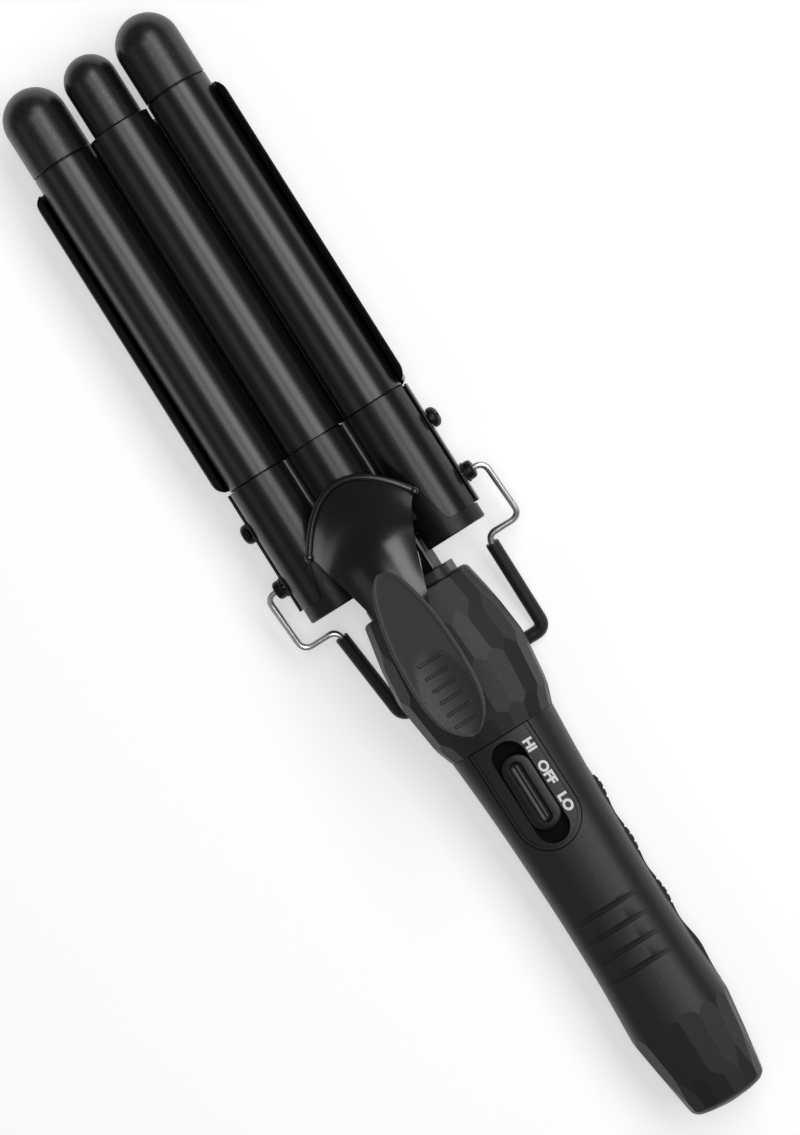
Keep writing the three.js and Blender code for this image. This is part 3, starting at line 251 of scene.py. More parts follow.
# The slider's skirt: the slider's plastic a shade darker, matt and less reflective, as painted shade so that
# the slot beside the button stays dark
SHADED_SKIRT_ABS = Finish(
    "matt ABS skirt with painted shade", "slider_plastic", "080809", 0.7, ior=1.2, grain_mm=0.4, grain_depth_mm=0.02
)
# Screws in black zinc: dark, with a dull metallic glint on their rims
BLACK_ZINC = Finish(
    "black zinc on steel", "screw_steel", "161618", 0.34, metallic=0.6, grain_mm=0.4, grain_depth_mm=0.01
)
# Nickel-chrome plating on spring wire: bright, and blurred a little by the drawn surface
PLATED_WIRE = Finish(
    "chrome plated wire", "bright_wire", "f0f1f2", 0.3, metallic=1.0, grain_mm=0.8, grain_depth_mm=0.003,
    roughness_spread=0.04, tint=0.04,
)
# Bare rolled steel sheet: pale, with rolling lines along the part. It also colours the pale strips that paint
# a highlight along the neck bracket's top edges
BARE_STEEL_AND_EDGE_HIGHLIGHT = Finish(
    "bare rolled steel and painted edge highlight", "sheet_steel", "9c9ea1", 0.36, metallic=1.0, grain_mm=0.4, grain_depth_mm=0.006,
    grain_stretch=(0.05, 1.0, 1.0), tint=0.06,
)
# The neck's sheet after phosphating: dark and dull, so that only the pale strips along its top edges shine,
# which are a painted highlight
PHOSPHATED_STEEL = Finish(
    "phosphated steel", "sheet_steel", "2e2f31", 0.5, metallic=0.7, grain_mm=0.4, grain_depth_mm=0.01
)
# Silicone tube shrunk on the wire: dull and slightly dusty
SILICONE_SLEEVE = Finish(
    "silicone sleeve", "sleeve_rubber", "131314", 0.55, grain_mm=0.6, grain_depth_mm=0.01
)
# Extruded aluminium carriers inside the barrels
EXTRUDED_ALUMINIUM = Finish(
    "extruded aluminium", "carrier_aluminium", "b6b7b9", 0.4, metallic=1.0, grain_mm=0.4,
    grain_depth_mm=0.008, grain_stretch=(0.03, 1.0, 1.0),
)
# Unglazed alumina: chalky white and granular
ALUMINA = Finish(
    "unglazed alumina", "heater_ceramic", "e3ded2", 0.7, grain_mm=0.4, grain_depth_mm=0.02, tint=0.05
)
# Glass and epoxy laminate under green solder mask
LAMINATE = Finish(
    "green solder mask", "board_laminate", "1f5a36", 0.35, grain_mm=0.8, grain_depth_mm=0.01, tint=0.1
)
# Red silicone on stranded wire
LEAD_SILICONE = Finish(
    "red lead silicone", "lead_silicone", "8f2a22", 0.5, grain_mm=0.6, grain_depth_mm=0.01
)
# Pad-printed marks: flat white ink, with a trace of the plastic's texture
PRINTED_INK = Finish(
    "white pad-print ink", "slider_plastic", "e9e9e7", 0.5, grain_mm=0.35, grain_depth_mm=0.01, tint=0.03,
    tint_mm=1.5,
)
# Heat-proof plastic of the tips: satin, and a shade greyer than the coating
HEAT_CAP = Finish(
    "heat-proof PPS", "coated_barrel", "111112", 0.34, ior=1.6, grain_mm=0.8, grain_depth_mm=0.004
)


# Shaping


def circle_points(radius: float, count: int) -> list[Pair]:
    """Give points on a circle.

    Args:
        radius: The circle's radius.
        count: How many points.

    Returns:
        The points, counterclockwise.
    """
    turns = (math.radians(360 * i / count) for i in range(count))
    return [(radius * math.cos(turn), radius * math.sin(turn)) for turn in turns]


def arc_points(centre: Pair, radius: float, start: float, end: float, steps: int) -> list[Pair]:
    """Give points on an arc.

    Args:
        centre: The arc's centre.
        radius: Its radius.
        start: First angle in degrees.
        end: Last angle in degrees.
        steps: Number of steps between them.

    Returns:
        The points, both ends included.
    """
    turns = (math.radians(start + (end - start) * i / steps) for i in range(steps + 1))
    return [(centre[0] + radius * math.cos(turn), centre[1] + radius * math.sin(turn)) for turn in turns]


def stadium(start: float, end: float, half: float, steps: int = 24) -> list[Pair]:
    """Outline of a slot with round ends, in along and across.

    Args:
        start: Where it starts along the waver.
        end: Where it ends.
        half: Half its width.
        steps: Steps of each round end.

    Returns:
        The outline's points.
    """
    far = arc_points((end - half, 0), half, -90, 90, steps)
    near = arc_points((start + half, 0), half, 90, 270, steps)
    return far + near


def rounded_box(half: float, top: float, bottom: float, radius: float, steps: int = 8) -> list[Pair]:
    """Outline of a box with round corners, in across and height.

    Args:
        half: Half its width.
        top: Its highest level.
        bottom: Its lowest level.
        radius: Radius of its corners.
        steps: Steps of each corner.

    Returns:
        The outline's points.
    """
    points = arc_points((half - radius, bottom + radius), radius, -90, 0, steps)
    points += arc_points((half - radius, top - radius), radius, 0, 90, steps)
    points += arc_points((radius - half, top - radius), radius, 90, 180, steps)
    return points + arc_points((radius - half, bottom + radius), radius, 180, 270, steps)


def smooth_step(value: float, low: float, high: float) -> float:
    """Rise smoothly from 0 at low to 1 at high."""
    share = min(1.0, max(0.0, (value - low) / (high - low)))
    return share * share * (3 - 2 * share)


def lerp(low: float, high: float, share: float) -> float:
    """Mix two values."""
    return low + (high - low) * share


class SmoothLine:
    """A line through given points that neither overshoots nor kinks."""

    def __init__(self, points: Sequence[Pair]) -> None:
        """Keep the points and work out their slopes.

        Args:
            points: Pairs of place and value, in order of place.
        """
        self.points = list(points)
        chords = [(b[1] - a[1]) / (b[0] - a[0]) for a, b in zip(points, points[1:], strict=False)]
        inner = [2 * a * b / (a + b) if a * b > 0 else 0.0 for a, b in zip(chords, chords[1:], strict=False)]
        self.slopes = [chords[0], *inner, chords[-1]]

    def at(self, place: float) -> float:
        """Value of the line at a place.

        Args:
            place: Where to read it, held between the ends.

        Returns:
            The value.
        """
        place = min(max(place, self.points[0][0]), self.points[-1][0])
        last = len(self.points) - 2
        i = next((k for k in range(last + 1) if place <= self.points[k + 1][0]), last)
        (x0, y0), (x1, y1) = self.points[i], self.points[i + 1]
        run = x1 - x0
        t = (place - x0) / run
        rise0, rise1 = self.slopes[i] * run, self.slopes[i + 1] * run
        curve = (2 * t**3 - 3 * t**2 + 1) * y0 + (t**3 - 2 * t**2 + t) * rise0
        return curve + (3 * t**2 - 2 * t**3) * y1 + (t**3 - t**2) * rise1


class Blank:
    """A piece being shaped: a bmesh in millimetres of the waver."""

    def __init__(self) -> None:
        """Start with nothing."""
        self.mesh = bmesh.new()

    @classmethod
    def of_node(cls, node: str) -> "Blank":
        """Start from a merged copy of a CAD node, with its flat faces joined again.

        Args:
            node: The node's name.

        Returns:
            The blank.
        """
        blank = cls()
        blank.mesh.from_mesh(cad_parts[node].data)
        bmesh.ops.transform(blank.mesh, matrix=WAVER_TO_FRAME.inverted(), verts=blank.mesh.verts[:])
        bmesh.ops.remove_doubles(blank.mesh, verts=blank.mesh.verts[:], dist=PACKED_WELD)
        flat = math.radians(PACKED_FLAT)
        bmesh.ops.dissolve_limit(
            blank.mesh, angle_limit=flat, verts=blank.mesh.verts[:], edges=blank.mesh.edges[:]
        )
        return blank

    def line(
        self, points: Iterable[Vector | Point], closed: bool = False
    ) -> tuple[list[bmesh.types.BMVert], list[bmesh.types.BMEdge]]:
        """Add a line of edges through points.

        Args:
            points: The points.
            closed: Whether the last joins the first.

        Returns:
            The new vertices and edges, in order.
        """
        verts = [self.mesh.verts.new(point) for point in points]
        pairs = list(zip(verts, verts[1:], strict=False))
        if closed:
            pairs.append((verts[-1], verts[0]))
        return verts, [self.mesh.edges.new(pair) for pair in pairs]

    def turn(
        self, profile: Sequence[Pair], axis: str = "x", at: Point = (0, 0, 0), side: int = 1, steps: int = 64
    ) -> "Blank":
        """Spin a profile a full turn round a line along X, Y or Z.

        Args:
            profile: Pairs of radius and distance along the line.
            axis: The line's direction.
            at: A point on the line.
            side: 1, or -1 to run the distances the other way.
            steps: Steps of the spin.

        Returns:
            This blank.
        """
        ways = {"x": ((1, 0, 0), (0, 0, 1)), "y": ((0, 1, 0), (1, 0, 0)), "z": ((0, 0, 1), (1, 0, 0))}
        along, out = ways[axis]
        before = set(self.mesh.verts)
        points = [Vector(at) + Vector(along) * run * side + Vector(out) * radius for radius, run in profile]
        verts, edges = self.line(points)
        bmesh.ops.spin(
            self.mesh, geom=[*verts, *edges], cent=at, axis=along, dvec=(0, 0, 0), angle=math.tau,
            steps=steps, use_merge=True, use_normal_flip=False, use_duplicate=False,
        )
        made = [vert for vert in self.mesh.verts if vert not in before]
        bmesh.ops.remove_doubles(self.mesh, verts=made, dist=WELD)
        bmesh.ops.dissolve_degenerate(self.mesh, dist=WELD, edges=self.mesh.edges[:])
        return self.outward()

    def loft(self, rings: Sequence[Sequence[Vector]]) -> "Blank":
        """Draw a closed ring out through further rings of as many points, and cap both ends.

        Args:
            rings: The rings, each the same number of points.

        Returns:
            This blank.
        """
        row, edges = self.line(rings[0], closed=True)
        first = edges
        for ring in rings[1:]:
            out = bmesh.ops.extrude_edge_only(self.mesh, edges=edges)["geom"]
            place = {vert: i for i, vert in enumerate(row)}
            fresh = [item for item in out if isinstance(item, bmesh.types.BMVert)]
            moved: list[bmesh.types.BMVert | None] = [None] * len(row)
            for vert in fresh:
                i = next(place[e.other_vert(vert)] for e in vert.link_edges if e.other_vert(vert) in place)
                vert.co = ring[i]
                moved[i] = vert
            row = [vert for vert in moved if vert]
            mine = set(fresh)
            edges = [
                item for item in out
                if isinstance(item, bmesh.types.BMEdge) and item.verts[0] in mine and item.verts[1] in mine
            ]
        for rim in (first, edges):
            bmesh.ops.contextual_create(self.mesh, geom=rim)
        return self.outward()

    def prism(self, outline: Sequence[Pair], low: float, high: float, axis: str = "z") -> "Blank":
        """Raise an outline between two levels.

        Args:
            outline: The outline, in the two directions that follow the axis.
            low: First level along the axis.
            high: Last level along the axis.
            axis: z for outlines in along and across, x for across and height, y for along and height.

        Returns:
            This blank.
        """
        spots: dict[str, Callable[[Pair, float], Vector]] = {
            "z": lambda p, level: Vector((p[0], p[1], level)),
            "x": lambda p, level: Vector((level, p[0], p[1])),
            "y": lambda p, level: Vector((p[0], level, p[1])),
        }
        spot = spots[axis]
        return self.loft([[spot(p, low) for p in outline], [spot(p, high) for p in outline]])

    def block(self, low: Point, high: Point) -> "Blank":
        """Add a box between two corners.

        Args:
            low: Its lowest corner.
            high: Its highest corner.

        Returns:
            This blank.
        """
        size = Vector(high) - Vector(low)
        middle = (Vector(high) + Vector(low)) / 2
        matrix = Matrix.Translation(middle) @ Matrix.Diagonal((*size, 1))
        bmesh.ops.create_cube(self.mesh, size=1.0, matrix=matrix)
        return self.outward()

    def tube(self, path: Sequence[Vector], radius: float, sides: int = 16) -> "Blank":
        """Draw a round section along a path, closed at both ends.

        Args:
            path: Points of the path.
            radius: The tube's radius.
            sides: Sides of the section.

        Returns:
            This blank.
        """
        rings = []
        across = None
        for i, point in enumerate(path):
            ahead = path[min(i + 1, len(path) - 1)] - path[max(i - 1, 0)]
            ahead.normalize()
            across = ahead.orthogonal() if across is None else across - ahead * across.dot(ahead)
            across.normalize()
            beside = ahead.cross(across)
            rings.append([point + across * a + beside * b for a, b in circle_points(radius, sides)])
        return self.loft(rings)

    def outward(self) -> "Blank":
        """Turn every face outwards."""
        bmesh.ops.recalc_face_normals(self.mesh, faces=self.mesh.faces[:])
        return self

    def shape_verts(self, place: Callable[[Vector], Vector]) -> "Blank":
        """Move each vertex to where a function puts it.

        Args:
            place: Gives the new place of an old one.

        Returns:
            This blank.
        """
        for vert in self.mesh.verts:
            vert.co = place(vert.co)
        return self

    def slice(self, point: Vector | Point, normal: Vector | Point) -> "Blank":
        """Cut off what lies beyond a plane, and close the cut with a flat face.

        Args:
            point: A point on the plane.
            normal: Direction of the part that goes.

        Returns:
            This blank.
        """
        everything = [*self.mesh.verts, *self.mesh.edges, *self.mesh.faces]
        cut = bmesh.ops.bisect_plane(
            self.mesh, geom=everything, dist=ON_PLANE, plane_co=point, plane_no=normal, clear_outer=True,
            clear_inner=False,
        )
        rim = [item for item in cut["geom_cut"] if isinstance(item, bmesh.types.BMEdge)]
        for face in bmesh.ops.holes_fill(self.mesh, edges=rim, sides=0)["faces"]:
            face.smooth = False
        return self

    def smoothed(self) -> "Blank":
        """Let every face so far shade smoothly."""
        for face in self.mesh.faces:
            face.smooth = True
        return self

    def copy(self) -> "Blank":
        """Give a second blank of the same shape."""
        twin = Blank()
        twin.mesh.free()
        twin.mesh = self.mesh.copy()
        return twin

    def ball(self, centre: Vector | Point, radii: Point, steps: int = 32) -> "Blank":
        """Add a ball or an egg shape.

        Args:
            centre: Its centre.
            radii: Its three half sizes.
            steps: Steps round it.

        Returns:
            This blank.
        """
        placed = Matrix.Translation(centre) @ Matrix.Diagonal((*radii, 1))
        bmesh.ops.create_uvsphere(
            self.mesh, u_segments=steps, v_segments=steps // 2, radius=1.0, matrix=placed,
        )
        return self.outward()

    def merge(self, other: "Blank") -> "Blank":
        """Take in another blank's faces as they are."""
        spare = bpy.data.meshes.new("spare")
        other.mesh.to_mesh(spare)
        self.mesh.from_mesh(spare)
        bpy.data.meshes.remove(spare)
        other.mesh.free()
        return self

    def join(self, other: "Blank", how: Cut) -> "Blank":
        """Cut or join this blank with another closed one.

        Args:
            other: The other blank, used up by this.
            how: Which part stays.

        Returns:
            This blank.
        """
        pair = [self.loose_object("work"), other.loose_object("tool")]
        step = pair[0].modifiers.new("cut", "BOOLEAN")
        step.operation = how.value
        step.solver = "EXACT"
        step.object = pair[1]
        graph = bpy.context.evaluated_depsgraph_get()
        graph.update()
        result = bpy.data.meshes.new_from_object(pair[0].evaluated_get(graph))
        self.mesh = bmesh.new()
        self.mesh.from_mesh(result)
        bmesh.ops.remove_doubles(self.mesh, verts=self.mesh.verts[:], dist=WELD)
        bmesh.ops.dissolve_degenerate(self.mesh, dist=WELD, edges=self.mesh.edges[:])
        bpy.data.meshes.remove(result)
        for item in pair:
            data = item.data
            bpy.data.objects.remove(item)
            bpy.data.meshes.remove(data)
        return self

    def loose_object(self, name: str) -> bpy.types.Object:
        """Turn the blank into an object of its own, which uses it up."""
        data = bpy.data.meshes.new(name)
        self.mesh.to_mesh(data)
        self.mesh.free()
        made = bpy.data.objects.new(name, data)
        bpy.context.scene.collection.objects.link(made)
        return made

    def finish(
        self,
        name: str,
        finish: Finish,
        body: Body,
        *nodes: str,
        edge: float = 0.0,
        smooth: float = 35.0,
        segments: int = 2,
    ) -> bpy.types.Object:
        """Turn the blank into a finished piece on its body.

        Args:
            name: The piece's name.
            finish: Its finish.
            body: The body that it rides on.
            *nodes: CAD nodes that it stands for.
            edge: Radius that its sharp edges are broken with, 0 for none.
            smooth: Angle in degrees up to which neighbouring faces shade as one.
            segments: Segments of the broken edges.

        Returns:
            The piece.
        """
        bmesh.ops.transform(self.mesh, matrix=WAVER_TO_FRAME, verts=self.mesh.verts[:])
        planed = [i for i, face in enumerate(self.mesh.faces) if not face.smooth]
        if len(planed) == len(self.mesh.faces):
            planed = []
        piece = self.loose_object(name)
        piece.data.shade_smooth()
        piece.data.set_sharp_from_angle(angle=math.radians(smooth))
        # Marking the sharp edges makes every face smooth again, so the planed ones are made flat after it
        for i in planed:
            piece.data.polygons[i].use_smooth = False
        if edge:
            rounding = piece.modifiers.new("edges", "BEVEL")
            rounding.width = edge * MM
            rounding.segments = segments
            rounding.limit_method = "ANGLE"
            rounding.angle_limit = math.radians(smooth)
            rounding.use_clamp_overlap = True
            rounding.harden_normals = True
        piece.data.materials.append(finish.build())
        if nodes:
            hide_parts(*nodes)
        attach(piece, body.value)
        log.info("%s: %d faces, %s", name, len(piece.data.polygons), finish.name)
        return piece


# The waver's own pieces


@dataclass
class Barrels:
    """The three barrels, their tips, the arch plate and the two wings."""

    outer_radius: float = 9.4
    middle_radius: float = 7.7
    pitch: float = 19.2
    wall: float = 0.9
    start: float = 218.4
    end: float = 321.7
    middle_start: float = 199.6
    outer_tip: float = 23.8
    middle_tip: float = 22.7
    spigot: float = 5.0
    spigot_wall: float = 1.2
    tip_floor: float = 2.0
    arch_radius: float = 9.8
    arch_edge: float = 2.0
    wing_gap: float = 1.2
    wing_wall: float = 0.8
    wing_end: float = 318.6
    wing_reach: float = 31.8
    wing_lip: float = 3.0
    wing_corner: float = 5.0
    wing_root_angle: float = -172
    wing_lip_angle: float = 8
    lip_edge: float = 0.4
    tail_start: float = 207.8
    tail_lap: float = 0.5
    tail_height: float = -8.6
    rim: float = 0.25
    steps: int = 96

    def tube(self, radius: float, start: float, across: float) -> Blank:
        """A barrel with its two rims broken.

        Args:
            radius: Outer radius.
            start: Where it starts along the waver.
            across: Where its axis lies.

        Returns:
            The blank.
        """
        bore, rim = radius - self.wall, self.rim
        profile = [
            (bore, start), (radius - rim, start), (radius, start + rim), (radius, self.end - rim),
            (radius - rim, self.end), (bore, self.end), (bore, start),
        ]
        return Blank().turn(profile, at=(0, across, 0), steps=self.steps)

    def tip(self, radius: float, length: float, across: float) -> Blank:
        """A domed tip with its spigot.

        Args:
            radius: Outer radius.
            length: Length from the barrel's end.
            across: Where its axis lies.

        Returns:
            The blank.
        """
        bore, start, rim = radius - self.wall - GAP, self.end + GAP, self.rim
        top = self.end + length
        dome = [(r, top - radius + h) for r, h in arc_points((0, 0), radius, 0, 89.9, 24)]
        inside, floor = bore - self.spigot_wall, start + self.tip_floor
        profile = [
            (0, floor), (inside, floor), (inside, self.end - self.spigot),
            (bore, self.end - self.spigot), (bore, start), (radius - rim, start), (radius, start + rim),
            *dome, (0, top),
        ]
        return Blank().turn(profile, at=(0, across, 0), steps=self.steps)

    def arch(self) -> Blank:
        """The arch plate in front of the middle barrel."""
        low = math.degrees(math.asin(self.arch_edge / self.arch_radius))
        section = arc_points((0, 0), self.arch_radius, low, 180 - low, 64)
        section += arc_points((0, 0), self.arch_radius - self.wall, 180 - low, low, 64)
        return Blank().prism(section, self.start, self.end, "x")

    def wing(self, side: int) -> Blank:
        """A wing: the trough behind an outer barrel, its flared lip and its tail.

        Args:
            side: 1 for the left wing, -1 for the right.

        Returns:
            The blank.
        """
        inner = self.outer_radius + self.wing_gap
        wall, reach, lip = self.wing_wall, self.wing_reach, self.wing_lip
        shy = reach - self.lip_edge
        root, tip = self.wing_root_angle, self.wing_lip_angle
        back = arc_points((self.pitch, 0), inner + wall, root, tip, 56)
        front = arc_points((self.pitch, 0), inner, tip, root, 56)
        flare = [(shy, lip - wall), (reach, lip - wall / 2), (shy, lip)]
        section = [(side * across, height) for across, height in [*back, *flare, *front]]
        start, end, corner = self.start, self.wing_end, self.wing_corner
        plan = [(start, 0.0), (end, 0.0), *arc_points((end - corner, reach - corner), corner, 0, 90, 12)]
        plan += arc_points((start + corner, reach - corner), corner, 90, 180, 12)
        outline = Blank().prism([(along, side * across) for along, across in plan], -BEYOND, BEYOND)
        trough = Blank().prism(section, start, end, "x").join(outline, Cut.WITHIN)
        tail = Blank().prism(section, self.tail_start, start + self.tail_lap, "x")
        return trough.join(tail.slice((0, 0, self.tail_height), (0, 0, 1)), Cut.TOGETHER)

    def barrel(self, name: str, across: float, radius: float, start: float, dome: float, body: Body) -> None:
        """Build one barrel and its tip.

        Args:
            name: left, middle or right.
            across: Where its axis lies.
            radius: Outer radius of both.
            start: Where the barrel starts along the waver.
            dome: Length of the tip past the barrel's end.
            body: The body that they ride on.
        """
        tube, tip = f"barrel_{name}", f"tip_{name}"
        self.tube(radius, start, across).finish(f"{tube}_tube", COATED_TUBE, body, tube)
        self.tip(radius, dome, across).finish(f"{tip}_cap", HEAT_CAP, body, tip)

    def build(self) -> None:
        """Build and place the barrels, tips, arch plate and wings."""
        for name, side in (("left", 1), ("right", -1)):
            across = side * self.pitch
            self.barrel(name, across, self.outer_radius, self.start, self.outer_tip, Body.JAW)
            wing = f"wing_{name}"
            self.wing(side).finish(f"{wing}_sheet", COATED_TUBE, Body.ROOT, wing, edge=0.15, smooth=30)
        self.barrel("middle", 0, self.middle_radius, self.middle_start, self.middle_tip, Body.ROOT)
        self.arch().finish("arch_plate_shell", COATED_TUBE, Body.JAW, "arch_plate", edge=0.25)


class Skin:
    """A stretch of the handle's skin: half width, front and rear height along the waver."""

    roundness = 2.3
    parting = -1.0
    fine = 720

    def __init__(self, stations: Sequence[tuple[float, float, float, float]]) -> None:
        """Draw smooth lines through the stations.

        Args:
            stations: Rows of place along, half width, front height and rear height.
        """
        self.start = stations[0][0]
        lines = (SmoothLine([(row[0], row[i]) for row in stations]) for i in (1, 2, 3))
        self.half, self.front, self.rear = lines

    def point(self, along: float, turn: float, inset: float = 0.0) -> Vector:
        """A point of the skin.

        Args:
            along: Place along the waver.
            turn: Turn round the section in radians, 0 at the left.
            inset: How far inside the skin it lies.

        Returns:
            The point.
        """
        across, up = math.cos(turn), math.sin(turn)
        power = 2 / self.roundness
        reach = self.front.at(along) - self.parting if up >= 0 else self.parting - self.rear.at(along)
        y = (self.half.at(along) - inset) * math.copysign(abs(across) ** power, across)
        return Vector((along, y, self.parting + (reach - inset) * math.copysign(abs(up) ** power, up)))

    def ring(self, along: float, inset: float = 0.0, sides: int = 112) -> list[Vector]:
        """A whole ring of the skin."""
        return [self.point(along, math.tau * i / sides, inset) for i in range(sides)]

    def even_turns(self, along: float, count: int, shift: float) -> list[float]:
        """Turns that share out a ring evenly by length.

        Args:
            along: Place along the waver.
            count: How many turns.
            shift: Offset of the first, in shares of one step.

        Returns:
            The turns in radians.
        """
        fine = self.fine
        ring = self.ring(along, 0, fine)
        lengths = [0.0]
        for a, b in zip(ring, [*ring[1:], ring[0]], strict=True):
            lengths.append(lengths[-1] + (b - a).length)
        turns = []
        for k in range(count):
            wanted = lengths[-1] * (((k + shift) / count) % 1)
            spot = next(i for i in range(fine) if lengths[i + 1] >= wanted)
            turns.append(math.tau * spot / fine)
        return turns

    def height(self, along: float, across: float) -> float:
        """Height of the front skin over a place.

        Args:
            along: Place along the waver.
            across: Place across it.

        Returns:
            The height.
        """
        share = min(1.0, abs(across) / self.half.at(along))
        rise = (1 - share**self.roundness) ** (1 / self.roundness)
        return self.parting + (self.front.at(along) - self.parting) * rise


@dataclass
class Handle:
    """The two handle shells and the ribbed grip behind them."""

    length: float = 166.9
    wall: float = 2.2
    tail_rows: tuple[Pair, ...] = ((-1.0, 10.0), (10.0, 25.5))
    bulge_rows: tuple[Pair, ...] = ((120.4, 126.5), (126.5, 142.2), (142.2, 155.7), (155.7, 166.9))
    tail_facets: int = 16
    bulge_facets: int = 20
    facet_sink: float = 0.3
    tail_first: float = 5.0
    tail_step: float = 2.16
    grip_step: float = 2.35
    bulge_step: float = 2.0
    end_dome: float = 0.8
    end_rings: tuple[Pair, ...] = ((0.0, 7.6), (0.12, 5.0), (0.4, 3.6))
    end_rounding: float = 2.6
    mouth_rounding: float = 1.6
    room_tail: tuple[float, ...] = (5, 11, 18, 24)
    room_grip: tuple[float, ...] = (30, 50, 64, 90, 106, 118)
    room_bulge: tuple[float, ...] = (126, 132, 144, 151, 160)
    mouth: tuple[float, float, float, float] = (13.6, 9.1, -11.1, 4.0)
    inlet_radius: float = 5.9
    inlet_height: float = -2.0
    screws: tuple[Pair, ...] = ((13.3, -14.17), (133.4, -12.5), (158.4, -12.42))
    screw_head: float = 2.2
    screw_shank: float = 1.6
    screw_sink: float = 1.4
    well_centre: Point = (141.9, 0.0, 22.65)
    well_size: Point = (20.0, 10.5, 10.5)
    scoops: tuple[float, ...] = (45.6, 51.8, 58.0, 64.1)
    scoop_width: float = 1.5
    scoop_depth: float = 0.6
    scoop_reach: float = 11.5
    scoop_wall: float = 0.14
    scoop_rings: tuple[float, ...] = (-0.16, -0.14, 0.001, 0.2, 0.45, 0.75, 1.1, 1.5)
    scooped: Pair = (45.0, 66.0)
    grip_start: float = 30.0
    grip_length: float = 70.0
    finger_pitch: float = 17.3
    first_crest: float = 42.1
    crest: float = -16.9
    valley: float = -15.0
    crest_wall: float = 1.1
    valley_wall: float = 0.3
    grip_top: float = -5.0
    grip_run_out: float = 5.0
    run_out_steps: tuple[float, ...] = (0, 0.6, 1.2, 2, 3, 4)
    least_wall: float = 0.1
    wave_start: float = 6.0
    wave_step: float = 0.9
    rib_pitch: float = 2.5
    rib_places: tuple[float, ...] = (-1.5, -0.5, 0.5, 1.5)
    rib_half: float = 0.5
    rib_crown: float = 0.25
    rib_depth: float = 0.3
    tail: Skin = field(default_factory=lambda: Skin((
        (0.0, 11.3, 8.2, -12.2), (11.17, 13.3, 10.2, -14.0), (18.62, 14.5, 11.0, -14.6),
        (26.6, 15.4, 11.3, -14.8),
    )))
    grip: Skin = field(default_factory=lambda: Skin((
        (26.6, 15.4, 11.3, -14.8), (50.05, 14.4, 10.5, -13.6), (64.1, 14.3, 10.1, -13.2),
        (89.4, 14.8, 10.0, -13.0), (106.3, 15.5, 10.4, -12.8), (120.4, 16.4, 11.2, -12.5),
    )))
    bulge: Skin = field(default_factory=lambda: Skin((
        (120.4, 16.4, 11.2, -12.5), (126.0, 18.5, 12.4, -12.5), (131.6, 19.5, 13.1, -12.5),
        (143.6, 20.6, 13.9, -12.5), (151.1, 20.0, 13.75, -12.5), (159.9, 18.3, 12.9, -12.4),
        (166.9, 17.0, 12.0, -12.0),
    )))

    def plane_facets(self, blank: Blank, skin: Skin, rows: Sequence[Pair], count: int) -> None:
        """Plane rows of long flat facets, each row set off by half a facet from the last.

        Args:
            blank: The body that is planed.
            skin: The skin that the facets follow.
            rows: First and last place of each row.
            count: Facets of a row.
        """
        for number, (start, end) in enumerate(rows):
            middle = (max(start, skin.start) + end) / 2
            for turn in skin.even_turns(middle, count, number % 2 / 2):
                first, last = skin.point(max(start, skin.start), turn), skin.point(end, turn)
                beside = skin.point(middle, turn + 0.01) - skin.point(middle, turn - 0.01)
                normal = beside.cross(last - first).normalized()
                if normal.dot(Vector((0, first.y, first.z - skin.parting))) < 0:
                    normal.negate()
                blank.slice(first - normal * self.facet_sink, normal)

    def scoop(self, point: Vector) -> Vector:
        """Press the crescent scoops into the front of the grip.

        Args:
            point: A point of the skin.

        Returns:
            Its new place.
        """
        share = 1 - (point.y / self.scoop_reach) ** 2
        if point.z < 0 or share <= 0:
            return point
        width = self.scoop_width * math.sqrt(share)
        depth = 0.0
        for start in self.scoops:
            past = point.x - start
            if 0 <= past < width:
                depth = self.scoop_depth * share * (1 - past / width) ** 0.5
            elif -self.scoop_wall < past < 0:
                depth = self.scoop_depth * share * (1 + past / self.scoop_wall)
        return point - Vector((0, 0, depth))

    def grip_body(self) -> Blank:
        """The handle from its end to past the switch, with its facets and scoops."""
        rings = [self.tail.ring(place, inset) for place, inset in self.end_rings]
        for step in range(9):
            bend = math.radians(90 * step / 8)
            inset = self.end_rounding * (1 - math.sin(bend))
            rings.append(self.tail.ring(self.end_dome + self.end_rounding * (1 - math.cos(bend)), inset))
        rings += [self.tail.ring(self.tail_first + self.tail_step * step) for step in range(10)]
        near = [start + step for start in self.scoops for step in self.scoop_rings]
        plain = [self.grip.start + self.grip_step * step for step in range(41)]
        plain = [place for place in plain if not self.scooped[0] < place < self.scooped[1]]
        rings += [self.grip.ring(place) for place in sorted(near + plain)]
        body = Blank().loft(rings).shape_verts(self.scoop).smoothed()
        self.plane_facets(body, self.tail, self.tail_rows, self.tail_facets)
        return body

    def bulge_body(self) -> Blank:
        """The wide end of the handle round its mouth, with its facets."""
        rings = [self.bulge.ring(self.bulge.start + self.bulge_step * step) for step in range(23)]
        for step in range(1, 9):
            bend = math.radians(90 * step / 8)
            place = self.length - self.mouth_rounding * (1 - math.sin(bend))
            rings.append(self.bulge.ring(place, self.mouth_rounding * (1 - math.cos(bend))))
        body = Blank().loft(rings).smoothed()
        self.plane_facets(body, self.bulge, self.bulge_rows, self.bulge_facets)
        return body

    def cavity(self) -> Blank:
        """The room inside the shells."""
        wall = self.wall
        rings = [self.tail.ring(place, wall, 48) for place in (wall, *self.room_tail)]
        rings += [self.grip.ring(place, wall, 48) for place in self.room_grip]
        rings += [self.bulge.ring(place, wall, 48) for place in (*self.room_bulge, self.length - wall)]
        return Blank().loft(rings).smoothed()

    def ends(self) -> Blank:
        """The mouth of the collar and the inlet of the cord's bush."""
        mouth = rounded_box(*self.mouth)
        room = Blank().prism(mouth, self.length - 2 * self.wall, self.length + 1, "x")
        radius, depth = self.inlet_radius, self.wall + 1
        inlet = [(0.0, -1.0), (radius, -1.0), (radius, depth), (0.0, depth)]
        return room.merge(Blank().turn(inlet, at=(0, 0, self.inlet_height))).smoothed()

